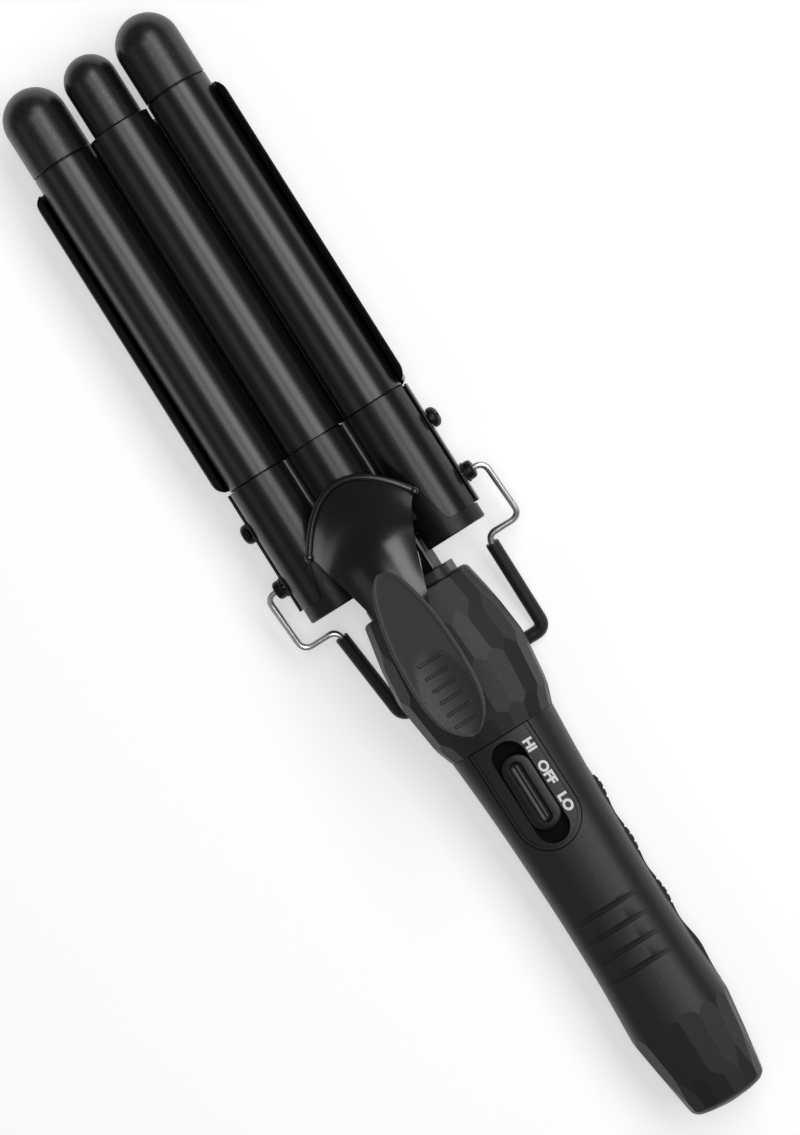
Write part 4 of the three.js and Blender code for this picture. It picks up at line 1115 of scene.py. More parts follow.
    def screw_rooms(self) -> Blank:
        """Holes for the three screws that come up from the rear."""
        rooms = Blank()
        wide, narrow = self.screw_head, self.screw_shank
        for along, rear in self.screws:
            seat = rear + self.screw_sink
            profile = [
                (0.0, -BEYOND), (wide, -BEYOND), (wide, seat), (narrow, seat), (narrow, 0.0), (0.0, 0.0),
            ]
            rooms.turn(profile, axis="z", at=(along, 0, 0), steps=32)
        return rooms.smoothed()

    def rear_grip(self) -> Blank:
        """The soft grip, with a ribbed crest between each two fingers."""
        run_out = (*self.run_out_steps, self.grip_run_out)
        end = self.grip_start + self.grip_length
        waves = [self.grip_start + self.wave_start + self.wave_step * step for step in range(65)]
        places = [*(self.grip_start + step for step in run_out), *(end - step for step in run_out), *waves]
        spots = dict.fromkeys(places, 0.0)
        clear = self.rib_half + self.rib_crown
        for crest in range(1, 4):
            for rib in self.rib_places:
                middle = self.first_crest + crest * self.finger_pitch + rib * self.rib_pitch
                spots = {place: share for place, share in spots.items() if abs(place - middle) >= clear}
                for reach, share in ((self.rib_half, 0.0), (self.rib_crown, 1.0)):
                    spots |= {middle - reach: share, middle + reach: share}
        rings = []
        for along in sorted(spots):
            core_rear = self.grip.rear.at(along)
            swing = math.cos((along - self.first_crest) / self.finger_pitch * math.tau)
            full = lerp(self.valley, self.crest, (swing + 1) / 2)
            fade = smooth_step(min(along - self.grip_start, end - along), 0, self.grip_run_out)
            groove = self.rib_depth * spots[along]
            rear = lerp(core_rear - 1.0, full, fade)
            wall = lerp(self.valley_wall, self.crest_wall, (swing + 1) / 2) * fade
            wall = max(self.least_wall, wall - groove)
            deeper = (rear + groove - Skin.parting) / (core_rear - Skin.parting)
            half = self.grip.half.at(along)
            rings.append([
                Vector((p.x, p.y * (half + wall) / half, Skin.parting + (p.z - Skin.parting) * deeper))
                for p in self.grip.ring(along, 0, 96)
            ])
        return Blank().loft(rings).smoothed().slice((0, 0, self.grip_top), (0, 0, 1))

    def build(self) -> Blank:
        """Build the shells and the grip.

        Returns:
            The hollow front half, for the switch's plate.
        """
        outer = self.grip_body().join(self.bulge_body(), Cut.TOGETHER)
        core = outer.copy()
        above, below = (0, 0, Skin.parting + GAP / 2), (0, 0, Skin.parting - GAP / 2)
        front = outer.copy().slice(above, (0, 0, -1)).join(self.cavity(), Cut.AWAY)
        rear = outer.slice(below, (0, 0, 1)).join(self.cavity(), Cut.AWAY)
        plate_room = front.copy()
        well = Blank().ball(self.well_centre, self.well_size, 96).smoothed()
        front.join(self.ends(), Cut.AWAY).join(Switch().plate_prism(GAP), Cut.AWAY).join(well, Cut.AWAY)
        front.finish("handle_front_shell_skin", MOULDED_ABS, Body.ROOT, "handle_front_shell", smooth=30)
        rear.join(self.ends(), Cut.AWAY).join(self.screw_rooms(), Cut.AWAY)
        rear.finish("handle_rear_shell_skin", MOULDED_ABS, Body.ROOT, "handle_rear_shell", smooth=30)
        grip = self.rear_grip().join(core, Cut.AWAY)
        grip.finish("finger_grip_skin", SOFT_TPE, Body.ROOT, "finger_grip", smooth=30)
        return plate_room


@dataclass
class Switch:
    """The switch's plate, its sliding button and the printed marks beside it."""

    start: float = 85.7
    end: float = 120.6
    half: float = 9.6
    recess_start: float = 87.2
    recess_end: float = 119.4
    recess_half: float = 5.0
    groove_inset: float = 0.9
    groove_width: float = 0.22
    groove_depth: float = 0.3
    floor_places: tuple[float, ...] = (80, 89.4, 98, 106.3, 114, 120.4)
    near_mouth: float = 3.0
    past_mouth: float = 5.0
    button_start: float = 91.5
    button_end: float = 115.1
    button_half: float = 4.7
    button_top: float = 10.2
    skirt_top: float = 6.7
    trough_radius: float = 2.5
    trough_depth: float = 0.95
    trough_reach: float = 7.8
    ridge_radius: float = 1.9
    ridge_top: float = 9.4
    ridge_steps: tuple[float, ...] = (-8.4, -8, 0, 8, 8.4)
    button_rim: tuple[Pair, ...] = ((0.0, 0.7), (0.06, 0.45), (0.22, 0.23), (0.48, 0.07), (0.8, 0.0))
    marks: tuple[tuple[str, float, float], ...] = (
        ("HI", 116.6, 112.9), ("OFF", 109.3, 102.0), ("LO", 98.6, 93.2),
    )
    mark_foot: float = -5.45
    mark_top: float = -8.25
    mark_weight: float = 0.045
    mark_weld: float = 0.0001
    ink: float = 0.02

    def plate_outline(self, grow: float) -> list[Pair]:
        """Outline of the plate: square towards the jaws, round towards the handle's end."""
        half, centre = self.half + grow, self.start + self.half
        end = self.end + grow
        return [(end, -half), (end, half), *arc_points((centre, 0), half, 90, 270, 32)]

    def plate_prism(self, grow: float) -> Blank:
        """The plate's outline raised through the front shell."""
        return Blank().prism(self.plate_outline(grow), 0, BEYOND).smoothed()

    def groove(self) -> Blank:
        """The fine groove that runs inside the plate's rim, open towards the jaws."""
        outlines = []
        last = self.end - self.near_mouth
        for inset in (self.groove_inset, self.groove_inset + self.groove_width):
            outline = self.plate_outline(-inset)
            outlines.append([(x + self.past_mouth if x > last else x, y) for x, y in outline])
        outer, inner = outlines
        ring = Blank().prism(outer, 0, BEYOND).join(Blank().prism(inner, -1, BEYOND + 1), Cut.AWAY)
        skin = Handle().grip
        below = Blank().loft([skin.ring(along, self.groove_depth, 96) for along in self.floor_places])
        return ring.join(below, Cut.AWAY).smoothed()

    def plate(self, shell: Blank) -> None:
        """Cut the plate from the front shell.

        Args:
            shell: The hollow front half of the handle, used up by this.
        """
        shell.join(self.plate_prism(0), Cut.WITHIN)
        recess = Blank().prism(stadium(self.recess_start, self.recess_end, self.recess_half), 0, BEYOND)
        shell.join(recess.smoothed(), Cut.AWAY).join(self.groove(), Cut.AWAY)
        shell.finish("switch_plate_face", MOULDED_ABS, Body.ROOT, "switch_plate", smooth=30)

    def button(self) -> None:
        """The sliding button: a rounded bar with a trough for the fingertip and a ridge along its middle."""
        middle = (self.button_start + self.button_end) / 2
        foot = (0.0, self.button_top - self.skirt_top + GAP)
        rings = []
        for inset, drop in (foot, *self.button_rim):
            outline = stadium(self.button_start + inset, self.button_end - inset, self.button_half - inset)
            rings.append([Vector((along, across, self.button_top - drop)) for along, across in outline])
        bar = Blank().loft(rings).smoothed()
        lift = self.button_top + self.trough_radius - self.trough_depth
        pill = [(0.0, -self.trough_reach - self.trough_radius)]
        for centre, first, last in ((-self.trough_reach, 180, 90), (self.trough_reach, 90, 0)):
            bend = arc_points((centre, 0), self.trough_radius, first, last, 12)
            pill += [(max(0.0, radius), run) for run, radius in bend]
        bar.join(Blank().turn(pill, at=(middle, 0, lift), steps=48).smoothed(), Cut.AWAY)
        spine = [Vector((middle + step, 0, self.ridge_top - self.ridge_radius)) for step in self.ridge_steps]
        ridge = Blank().tube(spine, self.ridge_radius, 48).smoothed()
        skirt = Blank.of_node("switch_slider").slice((0, 0, self.skirt_top), (0, 0, 1))
        bar.merge(ridge)
        bar.finish("switch_slider_button", POLISHED_ABS, Body.SLIDER, "switch_slider", smooth=40)
        # The skirt takes the darkened matt finish: painted shade in the slot beside the button
        skirt.finish("switch_slider_skirt", SHADED_SKIRT_ABS, Body.SLIDER, smooth=40)

    def print_marks(self) -> None:
        """Print the plain marks of the switch on the plate."""
        skin = Handle().grip
        for words, first, last in self.marks:
            curve = bpy.data.curves.new(words, "FONT")
            curve.body = words
            curve.offset = self.mark_weight
            text = bpy.data.objects.new(words, curve)
            bpy.context.scene.collection.objects.link(text)
            graph = bpy.context.evaluated_depsgraph_get()
            graph.update()
            flat = bpy.data.meshes.new_from_object(text.evaluated_get(graph))
            bpy.data.objects.remove(text)
            bpy.data.curves.remove(curve)
            mark = Blank()
            mark.mesh.from_mesh(flat)
            bpy.data.meshes.remove(flat)
            bmesh.ops.remove_doubles(mark.mesh, verts=mark.mesh.verts[:], dist=self.mark_weld)
            runs = [vert.co.x for vert in mark.mesh.verts]
            rises = [vert.co.y for vert in mark.mesh.verts]
            stretch = (last - first) / (max(runs) - min(runs))
            lift = (self.mark_top - self.mark_foot) / (max(rises) - min(rises))
            left, foot = min(runs), min(rises)
            mark.shape_verts(
                lambda p, left=left, foot=foot, stretch=stretch, lift=lift, first=first: Vector(
                    (first + (p.x - left) * stretch, self.mark_foot + (p.y - foot) * lift, 0)
                )
            )
            for step in range(1, 8):
                # Cut across, so that the letters bend with the plate
                level = lerp(self.mark_foot, self.mark_top, step / 8)
                everything = [*mark.mesh.verts, *mark.mesh.edges, *mark.mesh.faces]
                bmesh.ops.bisect_plane(mark.mesh, geom=everything, plane_co=(0, level, 0), plane_no=(0, 1, 0))
            mark.shape_verts(lambda p: Vector((p.x, p.y, skin.height(p.x, p.y) + self.ink)))
            mark.outward()
            if sum(face.normal.z for face in mark.mesh.faces) < 0:
                bmesh.ops.reverse_faces(mark.mesh, faces=mark.mesh.faces[:])
            mark.finish(f"switch_mark_{words.lower()}", PRINTED_INK, Body.ROOT)


@dataclass
class JawCover:
    """The front cover over the jaw's base, and the base that carries the outer barrels."""

    start: float = 179.8
    seam: float = 218.1
    lobe: float = 9.5
    arch: float = 9.8
    pitch: float = 19.2
    wall: float = 0.9
    fillet: float = 1.3
    foot: float = 1.7
    flare: float = 0.5
    notch_end: float = 191.2
    notch_half: float = 18.9
    notch_mouth: float = 20.9
    notch_corner: float = 2.5
    notch_gap: float = 0.2
    mouth_corner: float = 1.5
    base_start: float = 175.1
    lip_end: float = 179.5
    lip: float = 9.7
    lip_edge: float = 0.4
    sleeve: float = 8.3
    plateau: float = 9.3
    plateau_edge: float = 0.5
    spigot: float = 8.2
    spigot_slack: float = 0.1
    spigot_end: float = 229.4
    spigot_bore: float = 4.0
    low_flat: float = 0.95
    collar: float = 9.65
    collar_bore: float = 7.9
    collar_low: float = 1.9
    slot_half: float = 10.8
    floor: float = 0.3
    bridge_low: Point = (184.5, -17.2, 4.6)
    bridge_high: Point = (190.5, 17.2, 7.4)
    screw_place: Pair = (187.5, 3.6)
    screw_bore: float = 1.3
    overrun: float = 5.1

    def half_section(self, inset: float) -> list[Pair]:
        """Section of the skin from the left foot to its middle.

        Args:
            inset: How far inside the outer skin.

        Returns:
            Pairs of across and height.
        """
        near, far = self.arch + self.fillet, self.lobe + self.fillet
        across = (self.pitch**2 + near**2 - far**2) / (2 * self.pitch)
        height = math.sqrt(near**2 - across**2)
        on_arch = math.degrees(math.atan2(height, across))
        on_lobe = math.degrees(math.atan2(height, across - self.pitch))
        foot = math.degrees(math.asin(self.foot / (self.lobe - inset)))
        points = arc_points((self.pitch + self.flare, 0), self.lobe - inset, foot, 90, 32)
        points += arc_points((self.pitch, 0), self.lobe - inset, 90, on_lobe, 24)
        points += arc_points((across, height), self.fillet + inset, on_lobe - 180, on_arch - 180, 10)[1:-1]
        return points + arc_points((0, 0), self.arch - inset, on_arch, 90, 24)

    def notch(self, inset: float) -> list[Pair]:
        """Outline of the cut-out for the lever, in along and across.

        Args:
            inset: How far inside the cut-out it lies.

        Returns:
            The outline's points.
        """
        end, corner, bend = self.notch_end - inset, self.notch_corner - inset, self.mouth_corner + inset
        half, mouth = self.notch_half - inset, self.notch_mouth - inset
        left = arc_points((end - corner, half - corner), corner, 0, 80, 8)
        left += arc_points((self.start + bend, mouth + bend), bend, 260, 180, 8)
        left.append((self.base_start - self.overrun, mouth + bend))
        return [(along, -across) for along, across in reversed(left)] + left

    def cover(self) -> None:
        """Build the front cover."""
        outer, inner = self.half_section(0), self.half_section(self.wall)
        skin = outer + [(-y, z) for y, z in reversed(outer[:-1])]
        lining = inner + [(-y, z) for y, z in reversed(inner[:-1])]
        shell = Blank().prism([*skin, *reversed(lining)], self.start, self.seam, "x").smoothed()
        shell.join(Blank().prism(self.notch(0), 0, BEYOND).smoothed(), Cut.AWAY)
        shell.finish("front_cover_shell", POLISHED_NYLON, Body.JAW, "front_cover", edge=0.15, smooth=30)

    def base(self) -> None:
        """Build the base: two sleeves, flush with the cover where that is cut out, and a bridge."""
        start, lip, plateau = self.base_start, self.lip, self.plateau
        spigot, bore = self.spigot - self.spigot_slack, self.spigot_bore
        profile = [
            (0.0, start), (lip - self.lip_edge, start), (lip, start + self.lip_edge), (lip, self.lip_end),
            (self.sleeve, self.lip_end), (self.sleeve, self.seam), (spigot, self.seam),
            (spigot, self.spigot_end), (bore, self.spigot_end), (bore, self.notch_end), (0.0, self.notch_end),
        ]
        end, edge = self.notch_end - self.notch_gap, self.plateau_edge
        flush = [(0.0, start), (plateau - edge, start), (plateau, start + edge), (plateau, end), (0.0, end)]
        plan = self.notch(self.notch_gap)
        base = Blank()
        for side in (1, -1):
            at = (0, side * self.pitch, 0)
            raised = Blank().turn(flush, at=at, steps=96).smoothed()
            raised.join(Blank().prism(plan, self.floor, BEYOND).smoothed(), Cut.WITHIN)
            lobe = Blank().turn(profile, at=at, steps=96).smoothed()
            near, far = (start - self.overrun, -self.pitch, self.floor), (self.lip_end, self.pitch, BEYOND)
            lobe.join(Blank().block(near, far).smoothed(), Cut.AWAY).join(raised, Cut.TOGETHER)
            base.merge(lobe)
        near, far = (0, -self.slot_half, -BEYOND), (OVERALL_LENGTH, self.slot_half, BEYOND)
        base.join(Blank().block(near, far).smoothed(), Cut.AWAY)
        base.join(Blank().block(self.bridge_low, self.bridge_high).smoothed(), Cut.TOGETHER)
        base.shape_verts(lambda p: Vector((p.x, p.y, p.z * (self.low_flat if p.z < 0 else 1))))
        along, across = self.screw_place
        hole = [(0.0, 0.0), (self.screw_bore, 0.0), (self.screw_bore, 20.0), (0.0, 20.0)]
        for side in (1, -1):
            bore = Blank().turn(hole, axis="z", at=(along, side * across, 0), steps=32)
            base.join(bore.smoothed(), Cut.AWAY)
        near, far = self.lip_end - 0.1, self.start - 0.05
        inner, outer = self.collar_bore, self.collar
        rim = [(inner, near), (outer, near), (outer, far), (inner, far), (inner, near)]
        for side in (1, -1):
            # A ring behind each lip, which fills the joint between lip and cover
            ring = Blank().turn(rim, at=(0, side * self.pitch, 0), steps=96)
            base.merge(ring.slice((0, 0, self.collar_low), (0, 0, -1)).smoothed())
        base.finish("front_base_body", FILLED_NYLON, Body.JAW, "front_base", edge=0.12, smooth=30)

    def build(self) -> None:
        """Build both."""
        self.cover()
        self.base()


@dataclass
class Lever:
    """The lever's arm, which spreads over the cover like a tulip, and its thumb pad."""

    housing: float = 179.8
    wall: float = 1.2
    lip: float = 1.15
    lip_ball: float = 1.35
    pad_start: float = 126.0
    pad_length: float = 51.0
    pad_half: float = 8.9
    pad_wall: float = 3.0
    pad_low: float = 30.2
    pad_high: float = 36.0
    pivot: Pair = (181.0, -2.0)
    pin_bore: float = 1.8
    ear: float = 4.4
    ear_sheet: float = 1.1
    ear_inner: Pair = (7.0, -8.1)
    ear_front: tuple[Pair, ...] = (
        (184.2, 0.0), (184.2, 7.7), (190.5, 7.7), (190.5, 17.4), (184.2, 20.8), (176.6, 22.8),
    )
    tab_low: Point = (184.5, -7.55, 7.7)
    tab_high: Point = (190.5, 7.55, 8.9)
    lip_place: float = 24.6
    lip_sink: float = 0.15
    strip: tuple[float, ...] = (1, 0.65, 0.3, 0.13)
    strip_end: float = -13.5
    strip_length: float = 32.0
    strip_halves: Pair = (8.3, 5.0)
    strip_taper: float = 3.3
    strip_crown: float = 0.3
    ring_step: float = 1.6
    rings: int = 44
    tulip: tuple[tuple[float, float, float, float, float], ...] = (
        (-13.5, 8.3, 28.4, 26.6, 0.0), (-8.8, 9.5, 27.6, 24.8, 0.0), (-2.8, 11.3, 26.7, 22.8, 0.0),
        (3.5, 12.4, 25.2, 21.6, 3.04), (9.4, 13.6, 22.2, 20.2, 5.88), (16.5, 14.9, 16.9, 17.2, 9.3),
        (23.1, 16.7, 12.8, 12.8, 12.49), (25.2, 17.9, 11.7, 10.9, 13.5),
    )
    dish_centre: float = 139.3
    dish_length: float = 12.6
    dish_half: float = 6.9
    dish_depth: float = 1.6
    rim: tuple[Pair, ...] = (
        (0.0, 0.9), (0.1, 0.45), (0.3, 0.12), (0.55, 0.0), (0.8, 0.02), (1.1, 0.12), (1.5, 0.16),
    )
    rim_full: float = 2.6
    rim_least: float = 0.35
    under: tuple[Pair, ...] = ((-0.97, 1.1), (-0.9, 0.35), (-0.75, 0.0))
    rib_sink: float = 0.35
    ribs: tuple[float, ...] = (130.4, 134.3, 138.1, 141.9, 145.7, 149.7)
    rib_half: float = 3.6
    rib_radius: float = 0.55
    outline: SmoothLine = field(default_factory=lambda: SmoothLine((
        (0, 0.13), (0.03, 0.38), (0.08, 0.64), (0.16, 0.86), (0.28, 0.98), (0.4, 1), (0.55, 0.97),
        (0.7, 0.87), (0.82, 0.72), (0.92, 0.53), (0.97, 0.34), (1, 0.12),
    )))
    rise: SmoothLine = field(default_factory=lambda: SmoothLine((
        (0, 0.93), (0.1, 1), (0.3, 0.92), (0.5, 0.69), (0.7, 0.41), (0.85, 0.21), (1, 0),
    )))

    def pad_top(self, along: float) -> float:
        """Height of the pad's top over a place along the waver."""
        share = min(1.0, max(0.0, (along - self.pad_start) / self.pad_length))
        return lerp(self.pad_low, self.pad_high, self.rise.at(share))

    def arm_lines(self) -> tuple[SmoothLine, ...]:
        """Half width, crown height, edge height and sweep of the arm along the waver."""
        rows = []
        for share in self.strip:
            start = self.strip_end - self.strip_length * share
            top = self.pad_top(self.housing + start) - self.pad_wall - GAP
            half = lerp(*self.strip_halves, min(1, share * self.strip_taper))
            rows.append((start, half, top, top - self.strip_crown, 0.0))
        rows += self.tulip
        return tuple(SmoothLine([(row[0], row[i]) for row in rows]) for i in range(1, 5))

    def arm_point(self, lines: tuple[SmoothLine, ...], start: float, share: float) -> Vector:
        """A point of the arm's skin.

        Args:
            lines: The arm's lines.
            start: Place past the housing's start.
            share: Place across, from -1 to 1.

        Returns:
            The point.
        """
        half, crown, edge, sweep = (line.at(start) for line in lines)
        along = self.housing + start - sweep * share**2
        return Vector((along, share * half, crown - (crown - edge) * share**2))

    def arm(self) -> None:
        """Build the arm with its rolled lip, ears and tab."""
        lines = self.arm_lines()
        drop = Vector((0, 0, self.wall))
        rings = []
        first, last = self.strip_end - self.strip_length, self.tulip[-1][0]
        for start in [*(first + self.ring_step * step for step in range(self.rings)), last]:
            skin = [self.arm_point(lines, start, 1 - step / 16) for step in range(33)]
            rings.append([*skin, *(point - drop for point in reversed(skin))])
        arm = Blank().loft(rings).smoothed()
        sunk = Vector((0, 0, self.lip_sink))
        edge = [self.arm_point(lines, self.lip_place, 1 - step / 24) - sunk for step in range(49)]
        arm.merge(Blank().tube(edge, self.lip, 20).smoothed())
        for corner in (edge[0], edge[-1]):
            arm.merge(Blank().ball(corner + Vector((0, 0, 0.2)), (self.lip_ball,) * 3, 32).smoothed())
        x, z = self.pivot
        outline = [*arc_points(self.pivot, self.ear, 180, 350, 20), *self.ear_front]
        hole = [(0.0, -BEYOND), (self.pin_bore, -BEYOND), (self.pin_bore, BEYOND), (0.0, BEYOND)]
        for inner in self.ear_inner:
            ear = Blank().prism(outline, inner, inner + self.ear_sheet, "y")
            arm.merge(ear.join(Blank().turn(hole, axis="y", at=(x, 0, z), steps=32), Cut.AWAY).smoothed())
        arm.merge(Blank().block(self.tab_low, self.tab_high).smoothed())
        arm.finish("lever_arm_sheet", ENAMEL, Body.JAW, "lever_arm", smooth=40)

    def dish(self, along: float, across: float) -> float:
        """Depth of the finger's dish in the pad."""
        reach = ((along - self.dish_centre) / self.dish_length) ** 2 + (across / self.dish_half) ** 2
        return self.dish_depth * max(0.0, 1 - reach) ** 0.75

    def pad(self) -> None:
        """Build the pad with its rim, dish and six cross ribs."""
        count, rings = 60, []
        rim_width, rim_drop = self.rim[-1]
        for step in range(count + 1):
            share = (1 - math.cos(step / count * math.pi)) / 2
            along = self.pad_start + share * self.pad_length
            half, top = self.pad_half * self.outline.at(share), self.pad_top(along)
            shrink = min(1.0, half / self.rim_full)
            depth = max(self.rim_least, shrink)
            edge = [(half - inward * shrink, drop * depth) for inward, drop in self.rim]
            inner = half - rim_width * shrink
            middle = [(inner * (1 - k / 9), rim_drop * depth) for k in range(1, 10)]
            right = [(y, top - drop - self.dish(along, y)) for y, drop in edge + middle]
            skin = right + [(-y, z) for y, z in reversed(right[:-1])]
            low = top - self.pad_wall
            under = [(share_out * half, low + up) for share_out, up in self.under]
            under += [(-y, z) for y, z in reversed(under)]
            rings.append([Vector((along, y, z)) for y, z in skin + under])
        pad = Blank().loft(rings).smoothed()
        for place in self.ribs:
            path = []
            for step in range(13):
                across = self.rib_half * (1 - step / 6)
                height = self.pad_top(place) - self.rib_sink - self.dish(place, across)
                path.append(Vector((place, across, height)))
            pad.merge(Blank().tube(path, self.rib_radius, 12).smoothed())
            for end in (path[0], path[-1]):
                pad.merge(Blank().ball(end, (self.rib_radius,) * 3, 16).smoothed())
        pad.finish("lever_pad_body", TEXTURED_ABS, Body.JAW, "lever_pad", smooth=50)

    def build(self) -> None:
        """Build both."""
        self.arm()
        self.pad()


@dataclass
class NeckBracket:
    """The pressed bracket that carries the jaws: a dark sheet, with pale strips on its top edges as a painted
    highlight.
    """

    half: float = 9.8
    sheet: float = 1.0
    top: float = 3.4
    start: float = 170.2
    end: float = 189.8
    strip_inset: float = 0.15
    strip_low: float = 0.1
    strip_high: float = 0.03

    def build(self) -> None:
        """Build the sheet and the two pale strips along its top, which paint a highlight on its edges."""
        sheet = Blank.of_node("neck_bracket")
        sheet.finish("neck_bracket_sheet", PHOSPHATED_STEEL, Body.ROOT, "neck_bracket", edge=0.12)
        # Pale steel strips on the sheet's top edges: a painted highlight
        for name, side in (("left", 1), ("right", -1)):
            low, high = sorted((side * (self.half - self.sheet + self.strip_inset), side * (self.half - self.strip_inset)))
            near = (self.start, low, self.top - self.strip_low)
            far = (self.end, high, self.top + self.strip_high)
            edge = Blank().block(near, far)
            edge.finish(f"neck_bracket_edge_highlight_{name}", BARE_STEEL_AND_EDGE_HIGHLIGHT, Body.ROOT)


@dataclass
class Stand:
    """The wire stand, the sleeve on its legs and foot, and the two bushes that it turns in."""

    pivot: Point = (188.2, 0.0, -1.2)
    down: Point = (-48.8, 0.0, -13.8)
    wire: float = 1.1
    sleeve: float = 2.0
    bend: float = 3.2
    sleeve_top: Pair = (21.4, 25.4)
    corners: tuple[Pair, ...] = ((0, 29.6), (0, 36.6), (19, 36.6), (19, 25.4), (50.71, 24.1))

    def path(self, half: Sequence[Pair]) -> list[Vector]:
        """Round off the corners of a path that runs down one leg and up the other.

        Args:
            half: Pairs of distance down and place across of the left half.

        Returns:
            The points of the whole path.
        """
        ahead = Vector(self.down).normalized()
        corners = [Vector(self.pivot) + ahead * down + Vector((0, across, 0)) for down, across in half]
        corners += [Vector((point.x, -point.y, point.z)) for point in reversed(corners)]
        points = [corners[0]]
        for before, corner, after in zip(corners, corners[1:], corners[2:], strict=False):
            into = corner + (before - corner).normalized() * self.bend
            out = corner + (after - corner).normalized() * self.bend
            for step in range(11):
                t = step / 10
                points.append(into * (1 - t) ** 2 + corner * 2 * t * (1 - t) + out * t**2)
        return [*points, corners[-1]]

    def bush(self, name: str, side: int) -> None:
        """A turned bush on a cheek.

        Args:
            name: left or right.
            side: 1 for the left, -1 for the right.
        """
        profile = [
            (1.4, 30.3), (2.9, 30.3), (3.0, 30.4), (3.0, 30.75), (2.85, 30.9), (2.75, 31.1), (2.75, 32.2),
            (2.65, 32.7), (2.35, 33.1), (1.9, 33.3), (1.4, 33.3), (1.4, 30.3),
        ]
        x, _, z = self.pivot
        bush = Blank().turn(profile, axis="y", at=(x, 0, z), side=side, steps=48)
        bush.finish(f"stand_bush_{name}_turned", BLACK_ZINC, Body.ROOT, f"stand_bush_{name}", smooth=25)

    def build(self) -> None:
        """Build the wire, its sleeve and both bushes."""
        wire = Blank().tube(self.path(self.corners), self.wire, 24)
        wire.finish("stand_wire_bent", PLATED_WIRE, Body.STAND, "stand_wire")
        sleeve = Blank().tube(self.path([self.sleeve_top, self.corners[-1]]), self.sleeve, 28)
        sleeve.finish("stand_sleeve_tube", SILICONE_SLEEVE, Body.STAND, "stand_sleeve", edge=0.25, segments=3)
        self.bush("left", 1)
        self.bush("right", -1)


# A screw's dome, in shares of its head's radius and height
SCREW_DOME = (
    (0.94, 0.0), (1, 0.08), (1, 0.42), (0.93, 0.66), (0.76, 0.85), (0.5, 0.96), (0.2, 1), (0.0, 1),
)
# Its point: the radius there as a share of the shank's, and the length of the taper
SCREW_POINT, SCREW_TAPER = 0.6, 0.8
# The cross in its head: where its floor lies in the height, and the arms in shares of the radius
CROSS_FLOOR, CROSS_HALF_LENGTH, CROSS_HALF_WIDTH = 0.55, 0.62, 0.14


@dataclass(frozen=True)
class Screw:
    """A domed screw with a cross recess: its node, place, direction and sizes."""

    node: str
    body: Body
    axis: str
    seat: Point
    side: int
    radius: float
    head: float
    rise: float
    length: float

    def build(self) -> None:
        """Build the screw."""
        r, h = self.head, self.rise
        end, taper = self.radius * SCREW_POINT, SCREW_TAPER - self.length
        point = [(0.0, -self.length), (end, -self.length), (self.radius, taper)]
        profile = [*point, (self.radius, 0.0), *((r * out, h * up) for out, up in SCREW_DOME)]
        screw = Blank().turn(profile, self.axis, self.seat, self.side, 48).smoothed()
        turned = {"x": (0, 1, 2), "y": (1, 0, 2), "z": (2, 0, 1)}[self.axis]
        for long_way in (1, 2):
            low, high = [0.0, 0.0, 0.0], [0.0, 0.0, 0.0]
            reach = sorted((self.side * h * CROSS_FLOOR, self.side * (h + 1)))
            low[turned[0]], high[turned[0]] = reach
            for way in (1, 2):
                half = r * (CROSS_HALF_LENGTH if way == long_way else CROSS_HALF_WIDTH)
                low[turned[way]], high[turned[way]] = -half, half
            corner, far = Vector(self.seat) + Vector(low), Vector(self.seat) + Vector(high)
            screw.join(Blank().block(corner, far).smoothed(), Cut.AWAY)
        screw.finish(f"{self.node}_cross", BLACK_ZINC, self.body, self.node, smooth=30)


@dataclass(frozen=True)
class Plain:
    """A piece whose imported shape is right: it gets broken edges and its finish."""

    node: str
    finish: Finish
    body: Body = Body.ROOT
    edge: float = 0.15
    smooth: float = 35.0
    split: bool = False

    def build(self) -> None:
        """Build it from a merged copy of its node, its many-cornered faces split where a rim is bent."""
        copy = Blank.of_node(self.node)
        if self.split:
            bmesh.ops.triangulate(copy.mesh, faces=[face for face in copy.mesh.faces if len(face.verts) > 4])
        name = f"{self.node}_shape"
        copy.finish(name, self.finish, self.body, self.node, edge=self.edge, smooth=self.smooth)


SCREWS = (
    Screw("side_screw_left", Body.ROOT, "y", (206.1, 30.3, -1.2), 1, 1.3, 3.0, 2.6, 2.3),
    Screw("side_screw_right", Body.ROOT, "y", (206.1, -30.3, -1.2), -1, 1.3, 3.0, 2.6, 2.3),
    Screw("handle_screw_rear", Body.ROOT, "z", (13.3, 0.0, -13.07), -1, 1.3, 1.9, 1.1, 17.0),
    Screw("handle_screw_middle", Body.ROOT, "z", (133.4, 0.0, -11.4), -1, 1.3, 1.9, 1.1, 15.4),
    Screw("handle_screw_front", Body.ROOT, "z", (158.4, 0.0, -11.32), -1, 1.3, 1.9, 1.1, 15.3),
    Screw("bracket_screw_left", Body.ROOT, "z", (187.4, 4.6, -7.7), 1, 1.0, 1.9, 1.1, 5.0),
    Screw("bracket_screw_right", Body.ROOT, "z", (187.4, -4.6, -7.7), 1, 1.0, 1.9, 1.1, 5.0),
    Screw("arm_screw_left", Body.JAW, "z", (187.5, 3.6, 4.3), -1, 1.0, 1.9, 1.1, 4.3),
    Screw("arm_screw_right", Body.JAW, "z", (187.5, -3.6, 4.3), -1, 1.0, 1.9, 1.1, 4.3),
    Screw("lever_screw_rear", Body.JAW, "z", (140.0, 0.0, 30.52), -1, 1.0, 1.9, 1.1, 2.7),
    Screw("lever_screw_front", Body.JAW, "z", (156.0, 0.0, 28.38), -1, 1.0, 1.9, 1.1, 3.2),
)

